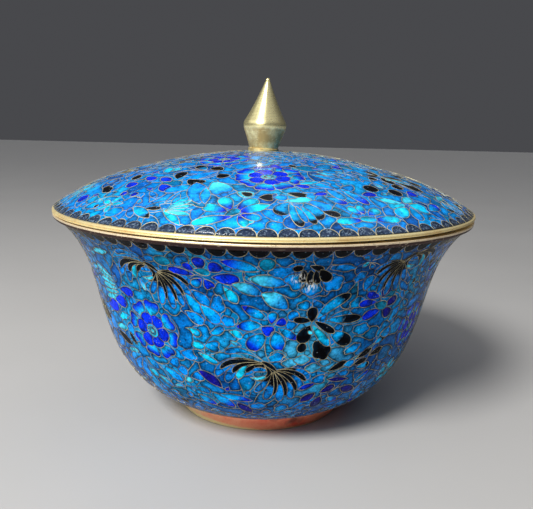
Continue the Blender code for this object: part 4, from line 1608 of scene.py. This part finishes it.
def fired_glass_group():
    """Clouds, grains, pale specks, pits and streaks of fired, rubbed-down enamel; painted shade by wires,
    painted glints.
    """
    inputs = {"Colour": COLOUR, "Beside wire": FLOAT, "Scuffed and glinting": FLOAT, "Mottle": FLOAT, "Specks": FLOAT,
              "Seam pits and shade": FLOAT, "Polish": FLOAT}
    tree, given = new_group("fired_glass", "ShaderNodeTree", inputs, SURFACE)
    where = object_place(tree)
    clouds = where.noise(560.0, 3.0)
    grains = where.noise(1900.0, 2.0)
    _, green, blue = given["Colour"].into("ShaderNodeSeparateColor")
    # Clouds lighten the colour itself, and turn it milky where it is pale already
    both = clouds + grains * 0.7
    light = green.spread(0.25, 0.75)
    calm = given["Mottle"] * light.spread(0.0, 1.0, 1.0, 0.5)
    gain = ((both - 0.85) * calm * 2.6 + 1.0).maths("MAXIMUM", 0.25)
    worked = given["Colour"].into("ShaderNodeVectorMath", {"Scale": gain}, operation="SCALE")[0]
    milky = (both.spread(0.92, 1.2, 0.0, 0.36) * light).between(worked, MILKY_GLASS)
    # Pale specks, most of them in the slate glass
    distance, lots = where.dots(1500.0)
    slate = blue.spread(0.24, 0.15) * blue.spread(0.01, 0.03)
    speck = distance.spread(0.30, 0.12) * (lots[0] + slate * 0.4).spread(0.82, 0.88) * given["Specks"]
    frost = grains.spread(0.54, 0.66, 0.0, 0.35) * slate
    lit = speck.maths("MAXIMUM", frost).between(milky, PALE_SPECK)
    # Pits, and the dark seams beside the wires: painted shade of the proud wires, partly pits at their edges
    distance, lots = where.dots(900.0)
    pit = distance.spread(0.24, 0.10) * lots[1].spread(0.86, 0.90)
    pitted = (pit * 0.7).between(lit, PIT_DIRT)
    beside = given["Beside wire"]
    shaded = (beside**1.35 * given["Seam pits and shade"] + beside * 0.12).between(pitted, SEAM_SHADE)
    # Scuffs in broken streaks: wear, and partly painted white glints of light
    streaks = where.stretched((0.0, 0.7, 0.0), (2600.0, 1200.0, 700.0), 3.0)
    scuff_and_glint = streaks.spread(0.50, 0.60) * given["Scuffed and glinting"]
    add(tree, "NodeGroupOutput", {
        "Colour": scuff_and_glint.between(shaded, RUBBED_GLASS_AND_GLINT),
        "Roughness": given["Polish"] + grains * 0.10 + pit.maths("MAXIMUM", scuff_and_glint) * 0.3,
        "Height": grains * 0.25 - pit,
    })
    return tree


def turning_marks_group():
    """Fine lines round the axis, as a lathe or a polishing cloth leaves them."""
    inputs = {"Lines": FLOAT, "Breaks": FLOAT}
    tree, given = new_group("turning_marks", "ShaderNodeTree", inputs, {"Value": FLOAT})
    across, along, up = object_place(tree).into("ShaderNodeSeparateXYZ")
    reach = (across * across + along * along).maths("SQRT")
    places = {1: along * given["Breaks"], 2: (up + reach) * given["Lines"]}
    placed = (across * given["Breaks"]).into("ShaderNodeCombineXYZ", places)[0]
    add(tree, "NodeGroupOutput", {"Value": placed.noise(1.0, 3.0)})
    return tree


def metal_wear_group():
    """Patches of dulled metal and stains over bright metal, with fine scratches; at full amount, painted
    shade too.
    """
    inputs = {"Bright": COLOUR, "Dull": COLOUR, "Amount": FLOAT, "Patch size": FLOAT, "Polish": FLOAT}
    tree, given = new_group("metal_wear", "ShaderNodeTree", inputs, SURFACE)
    where = object_place(tree)
    fine = where.noise(2400.0, 2.0)
    scratch = where.stretched((0.5, 0.9, 0.3), (150.0, 2600.0, 2600.0), 1.0).spread(0.66, 0.72)
    edge = 1.0 - given["Amount"]
    stain_and_shade = where.noise(given["Patch size"], 5.0, 0.62).spread(edge - 0.14, edge + 0.14)
    stained_and_shaded = stain_and_shade.between(given["Bright"], given["Dull"])
    speckled = fine.spread(0.56, 0.72, 0.0, 0.45).between(stained_and_shaded, given["Dull"])
    add(tree, "NodeGroupOutput", {
        "Colour": (scratch * 0.4).between(speckled, given["Bright"]),
        "Roughness": given["Polish"] + stain_and_shade * 0.22 + fine * 0.10,
        "Height": fine * 0.5 - scratch,
    })
    return tree


def new_material(name, constants):
    """Material with a Principled shader whose plain values are set on its own sockets."""
    material = bpy.data.materials.new(name)
    material.use_nodes = True
    shader = material.node_tree.nodes["Principled BSDF"]
    for label, value in constants.items():
        shader.inputs[label].default_value = value
    return material, material.node_tree, shader


def place_group(tree, group, values):
    """Outputs of a group with its inputs set."""
    return by_name(tree, add(tree, "ShaderNodeGroup", values, node_tree=group))


def link(signal, shader, label):
    """Drive one of a shader's inputs."""
    signal.tree.links.new(signal.socket, shader.inputs[label])


def finish_surface(tree, shader, surface, relief):
    """Link a surface's colour, roughness and height to its shader, with the relief's depth."""
    link(surface["Colour"], shader, "Base Color")
    link(surface["Roughness"], shader, "Roughness")
    values = {"Height": surface["Height"], "Strength": 0.5, "Distance": relief}
    link(signals(tree, "ShaderNodeBump", values)[0], shader, "Normal")


def enamel_material(name, group, values, shine, relief):
    """Glossy enamel that takes its colour from the cells."""
    material, tree, shader = new_material(name, {"IOR": 1.52, "Specular IOR Level": shine})
    painted = add(tree, "ShaderNodeAttribute", attribute_name="glass").outputs["Color"]
    beside = add(tree, "ShaderNodeAttribute", attribute_name="beside_wire").outputs["Fac"]
    scuffed_and_glinting = add(tree, "ShaderNodeAttribute", attribute_name="scuffed_and_glinting").outputs["Fac"]
    marks = {"Colour": painted, "Beside wire": beside, "Scuffed and glinting": scuffed_and_glinting}
    values = values | {label: Signal(tree, socket) for label, socket in marks.items()}
    finish_surface(tree, shader, place_group(tree, group, values), relief)
    return material


def turned_metal(tree, metal, bright, dull, amount, patches, polish, lines):
    """Surface of worn metal, and the marks of its turning that are in its height."""
    wear, marks = metal
    values = {"Bright": bright, "Dull": dull, "Amount": amount, "Patch size": patches, "Polish": polish}
    surface = place_group(tree, wear, values)
    turned = place_group(tree, marks, {"Lines": lines, "Breaks": 25.0})["Value"]
    surface["Height"] = turned * 1.4 + surface["Height"]
    return surface, turned


def metal_material(name, metal, bright, dull, metallic, amount, patches, polish, lines, relief,
                   stained_and_shaded=None, drawn_out=0.0):
    """Metal with patches of wear and the marks of its turning.

    stained_and_shaded is where else the dull colour lies, darker brass on the finial and painted shade
    with some oxide under the bowl's bead: the height where it begins, the height where it is full, how
    much of it there is then, and how metallic the surface still is. drawn_out is how far the turning
    marks draw a highlight out along the axis.
    """
    material, tree, shader = new_material(name, {"Metallic": metallic, "Anisotropic": drawn_out})
    if stained_and_shaded:
        begins, full, most, metal_left = stained_and_shaded
        height = object_place(tree).into("ShaderNodeSeparateXYZ")[2]
        link(height.spread(begins, full, metallic, metal_left), shader, "Metallic")
        amount = height.spread(begins, full, amount, most)
    if drawn_out:
        link(signals(tree, "ShaderNodeCombineXYZ", {"Z": 1.0})[0], shader, "Tangent")
    surface, turned = turned_metal(tree, metal, bright, dull, amount, patches, polish, lines)
    surface["Colour"] = turned.spread(0.45, 0.75, 0.0, 0.35).between(surface["Colour"], dull)
    finish_surface(tree, shader, surface, relief)
    return material


def foot_material(metal):
    """Bare copper, gilt along its lower edge on the left, partly a painted highlight where the lamp falls,
    and dark smudges.
    """
    material, tree, shader = new_material("worn_copper", {"Metallic": 0.5})
    surface, _ = turned_metal(tree, metal, BRIGHT_COPPER, RED_COPPER, amount=0.42, patches=110.0,
                              polish=0.34, lines=3800.0)
    where = object_place(tree)
    across, _, up = where.into("ShaderNodeSeparateXYZ")
    # Gold low on the left: worn gilt, and partly a painted highlight on the side the lamp lights
    low_and_left = up.spread(0.0020, 0.0002) + across.spread(0.002, -0.020)
    gilding_and_highlight = (where.noise(240.0, 4.0) + low_and_left).spread(1.15, 1.65)
    gilded_and_highlit = gilding_and_highlight.between(surface["Colour"], GILDING_AND_HIGHLIGHT)
    smudged = where.noise(95.0, 3.0).spread(0.60, 0.70, 0.0, 0.75)
    surface["Colour"] = smudged.between(gilded_and_highlit, DARK_SMUDGE)
    finish_surface(tree, shader, surface, 0.00004)
    return material


def floor_material():
    """Pale matt board."""
    material, tree, shader = new_material("pale_board", {"Metallic": 0.0})
    cloud = object_place(tree).noise(14.0, 4.0)
    link(cloud.between((0.40, 0.396, 0.39, 1.0), (0.44, 0.436, 0.43, 1.0)), shader, "Base Color")
    link(cloud.spread(0.0, 1.0, 0.55, 0.7), shader, "Roughness")
    return material


def build_floor():
    """Pale floor that the bowl stands on."""
    mesh = bpy.data.meshes.new("floor")
    reach = 3.0
    corners = [(-reach, -reach, 0.0), (reach, -reach, 0.0), (reach, reach, 0.0), (-reach, reach, 0.0)]
    mesh.from_pydata(corners, [], [(0, 1, 2, 3)])
    floor = link_mesh("floor", mesh, floor_material())


# Key lamp high on the front left, and what it faces
LAMP_PLACE = (-0.285, -0.488, 0.542)
LAMP_AIM = (0.0, 0.0, 0.05)
LAMP_SIZE = 0.24
LAMP_POWER = 8.3
LAMP_COLOUR = (1.0, 0.98, 0.95)

# The room that the glaze mirrors: dark in front, pale far on the left and above, with a bright window
FRONT_DARK = (0.03, 0.03, 0.035, 1.0)
BACK_DARK = (0.065, 0.066, 0.072, 1.0)
RIGHT_WALL = (0.04, 0.04, 0.05, 1.0)
LEFT_WALL = (0.95, 0.95, 0.92, 1.0)
CEILING = (0.38, 0.39, 0.42, 1.0)
WINDOW = (1.6, 1.58, 1.5, 1.0)
WINDOW_WAY = (-0.349, -0.656, 0.669)


def build_light():
    """Soft studio light, in a room that is paler on the left."""
    data = bpy.data.lights.new("key", "AREA")
    data.shape = "DISK"
    data.size = LAMP_SIZE
    data.energy = LAMP_POWER
    data.color = LAMP_COLOUR
    lamp = bpy.data.objects.new("key", data)
    bpy.context.scene.collection.objects.link(lamp)
    lamp.location = LAMP_PLACE
    lamp.rotation_euler = (Vector(LAMP_PLACE) - Vector(LAMP_AIM)).to_track_quat("Z", "Y").to_euler()
    world = bpy.data.worlds.new("surround")
    world.use_nodes = True
    tree = world.node_tree
    way = Signal(tree, add(tree, "ShaderNodeTexCoord").outputs["Generated"])
    across, back, up = way.into("ShaderNodeSeparateXYZ")
    level = back.spread(-0.3, 0.7).between(FRONT_DARK, BACK_DARK)
    walls = (across.spread(-0.2, -0.75) * back.spread(0.4, 0.0)).between(RIGHT_WALL, LEFT_WALL)
    lower = up.spread(0.19, 0.34).between(level, walls)
    upper = up.spread(0.55, 0.8).between(lower, CEILING)
    towards = way.into("ShaderNodeVectorMath", {1: WINDOW_WAY}, operation="DOT_PRODUCT")[1]
    shader = tree.nodes["Background"]
    link(towards.spread(0.905, 0.966).between(upper, WINDOW), shader, "Color")
    shader.inputs["Strength"].default_value = 1.0
    bpy.context.scene.world = world


# Camera, as the photograph was taken: turned, tilted down and rolled by these angles in radians
CAMERA_PLACE = (0.0, -0.1916, 0.08591)
CAMERA_YAW = 0.0059
CAMERA_DOWN = 0.2003
CAMERA_ROLL = 0.0246
CAMERA_LENS = 41.77


def build_camera():
    """Camera at the photograph's viewing angle."""
    data = bpy.data.cameras.new("camera")
    data.lens = CAMERA_LENS
    data.sensor_width = 36.0
    data.sensor_fit = "HORIZONTAL"
    data.clip_start = 0.005
    camera = bpy.data.objects.new("camera", data)
    bpy.context.scene.collection.objects.link(camera)
    forward = math.cos(CAMERA_DOWN)
    sideways = math.sin(CAMERA_YAW) * forward
    ahead = Vector((sideways, math.cos(CAMERA_YAW) * forward, -math.sin(CAMERA_DOWN)))
    level = Vector((math.cos(CAMERA_YAW), -math.sin(CAMERA_YAW), 0.0))
    up = level.cross(ahead)
    right = level * math.cos(CAMERA_ROLL) + up * math.sin(CAMERA_ROLL)
    top = up * math.cos(CAMERA_ROLL) - level * math.sin(CAMERA_ROLL)
    turn = Matrix((right, top, -ahead)).transposed().to_4x4()
    camera.matrix_world = Matrix.Translation(CAMERA_PLACE) @ turn
    bpy.context.scene.camera = camera


def keep(piece, node):
    """Hang a finished piece on the root body and hide the solid that it stands for."""
    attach(piece, "root")
    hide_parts(node)


def build_bowl_enamel(material, wires, tree):
    """The bowl's enamelled wall with its flowers and wires."""
    glass = Enamel(bowl_outline(60), unrolled=True, seed=11, start=BOWL_START)
    glass.wash(-78.0, 36.0, 17.0, srgb(70, 180, 220), 0.75)
    glass.wash(-128.0, 53.0, 14.0, srgb(20, 160, 215), 0.6)
    glass.wash(-118.0, 26.0, 12.0, srgb(20, 165, 220), 0.5)
    glass.wash(-100.0, 47.0, 12.0, srgb(4, 84, 170), 0.5)
    # Pale rubbed streaks by the half flower: wear, and partly painted white glints of light
    glass.scuff_and_glint(-81.5, 59.2, 1.4)
    glass.scuff_and_glint(-78.4, 56.8, 1.4)
    underlay(glass, pitch=7.0)
    hidden_garden(glass, (
        (57.5, -31.0, 196.0, "star chrysanthemum double half small chrysanthemum double butterfly star"),
        (40.0, -34.0, 208.0, "double spray butterfly chrysanthemum star double spray butterfly half"),
        (24.0, -38.0, 200.0, "small star small star small star small"),
    ))
    front_of_bowl(glass)
    fill_groups(glass, tries=1500, lowest=5.0, highest=64.0, gap=0.3)
    fill_gaps(glass, tries=2200, lowest=4.0, highest=65.0, longest=5.0, gap=0.35)
    scallops(glass, count=80, height=glass.run[-1], drop=3.1, colour="night", upright=False, first=0.845)
    hollow = bowl_hollow(14)
    floor = hollow[-1]
    lining = hollow + [Vector((floor.x * 0.6, floor.y)), Vector((0.0, floor.y))]
    underside = [Vector((BOWL_FOOT_RADIUS * 0.7, UNDERSIDE)), Vector((0.0, UNDERSIDE))]
    # The bowl's ground glass is darker than the lid's: painted shade of the bowl under the lid
    colours = (srgb(0, 120, 196), srgb(0, 80, 156))
    shell, *paths = enamel_shell("bowl_enamel", glass, material, colours, lining, underside)
    keep(shell, "bowl_body")
    lay_wires("bowl_wires", *paths, tree, wires, sectors=3)


def build_lid_enamel(material, wires, tree):
    """The lid's enamelled dome with its flowers and wires."""
    outline = lid_outline(60)
    kept = [point for point in outline if point.x > FINIAL_BASE_RADIUS * 0.7]
    glass = Enamel(kept, unrolled=False, seed=23)
    underlay(glass, pitch=7.2)
    hidden_garden(glass, (
        (9.0, -30.0, 200.0, "fan star double small butterfly fan star double small"),
        (25.0, -34.0, 196.0, "butterfly double chrysanthemum star double half"),
        (42.0, -120.0, 180.0, "double star small double star"),
    ))
    front_of_lid(glass)
    fill_groups(glass, tries=1100, lowest=4.6, highest=57.0, gap=0.3)
    fill_gaps(glass, tries=1500, lowest=3.8, highest=58.0, longest=4.8, gap=0.35)
    scallops(glass, count=86, height=0.0, drop=2.4, colour="slate", upright=True, first=0.69)
    edge = outline[0] - Vector((LID_WALL / math.sin(math.radians(LID_EDGE_SLOPE)), 0.0))
    inner = offset_inwards(outline, LID_WALL)[::4]
    hollow = [point for point in inner[1:-1] if point.y > edge.y and point.x < edge.x]
    lining = [edge, *hollow, Vector((0.0, outline[-1].y - LID_WALL))]
    # The lid's ground glass is paler than the bowl's: the lid lit, the bowl in painted shade
    colours = (srgb(0, 156, 232), srgb(0, 112, 208))
    shell, *paths = enamel_shell("lid_enamel", glass, material, colours, lining, [outline[-1]])
    shell.data.transform(lid_seat())
    keep(shell, "lid_body")
    lay_wires("lid_wires", *paths, tree, wires, sectors=2, place=lid_seat())


# Finishes that both sets of wires and both bands share
WIRE_FINISH = {"metallic": 0.7, "patches": 420.0, "polish": 0.36, "lines": 900.0, "relief": 0.00001}
BAND_FINISH = {"metallic": 0.6, "patches": 90.0, "polish": 0.30, "lines": 5200.0, "relief": 0.00003}


def make_metals(metal):
    """Gilt for the two sets of wires and the two bands, and the finial's brass; the bowl's wires darker as
    painted shade.
    """
    # The bowl's wires are the lid's gilt made darker: painted shade of the bowl under the lid
    bowl_wires = metal_material("bowl_wire", metal, opaque(206, 194, 152), opaque(92, 82, 56),
                                amount=0.52, **WIRE_FINISH)
    lid_wires = metal_material("lid_wire", metal, opaque(240, 232, 190), opaque(140, 128, 96),
                               amount=0.50, **WIRE_FINISH)
    lid_band = metal_material("lid_rim_gilt", metal, opaque(252, 236, 178), opaque(206, 160, 92),
                              amount=0.40, **BAND_FINISH)
    # The bead's lower half and the strip under it turn dark brown: painted shade on their underside, partly
    # oxide
    stain_and_shade = (LIP_HEIGHT + 0.00092, LIP_HEIGHT + 0.00074, 1.0, 0.5)
    bowl_band = metal_material("bowl_rim_gilt", metal, opaque(255, 236, 200), opaque(56, 32, 28),
                               amount=0.30, stained_and_shaded=stain_and_shade, **BAND_FINISH)
    shoulder = RIM_TOP + TOUCH_GAP + LID_BASE + LID_DOME_RISE + FINIAL_SHOULDER_RISE
    dulled = (shoulder + 0.0004, shoulder - 0.0008, 0.56, 0.4)
    brass = metal_material("finial_brass", metal, opaque(255, 244, 182), opaque(170, 146, 92),
                           metallic=0.85, amount=0.18, patches=220.0, polish=0.24, lines=5200.0,
                           relief=0.0000012, stained_and_shaded=dulled, drawn_out=0.5)
    return bowl_wires, lid_wires, bowl_band, lid_band, brass


def build():
    """Build the whole scene."""
    metal = (metal_wear_group(), turning_marks_group())
    bowl_wires, lid_wires, bowl_band, lid_band, brass = make_metals(metal)
    glass = fired_glass_group()
    bowl_values = {"Mottle": 0.95, "Specks": 0.5, "Seam pits and shade": 0.92, "Polish": 0.10}
    lid_values = {"Mottle": 0.85, "Specks": 0.6, "Seam pits and shade": 0.72, "Polish": 0.09}
    bowl_glass = enamel_material("bowl_enamel", glass, bowl_values, shine=0.03, relief=0.00004)
    lid_glass = enamel_material("lid_enamel", glass, lid_values, shine=0.3, relief=0.00002)
    tree = wire_tree()
    build_bowl_enamel(bowl_glass, bowl_wires, tree)
    build_lid_enamel(lid_glass, lid_wires, tree)
    keep(build_foot_ring(foot_material(metal)), "foot_ring")
    keep(build_bowl_rim(bowl_band), "bowl_rim")
    keep(build_lid_rim(lid_band), "lid_rim")
    outline = finial_outline()
    finial = turn_piece("finial_turned", outline, brass, steps=96, closed=False, place=finial_seat())
    keep(finial, "finial")
    build_floor()
    build_light()
    build_camera()
    bpy.context.scene.view_settings.view_transform = "Standard"


build()
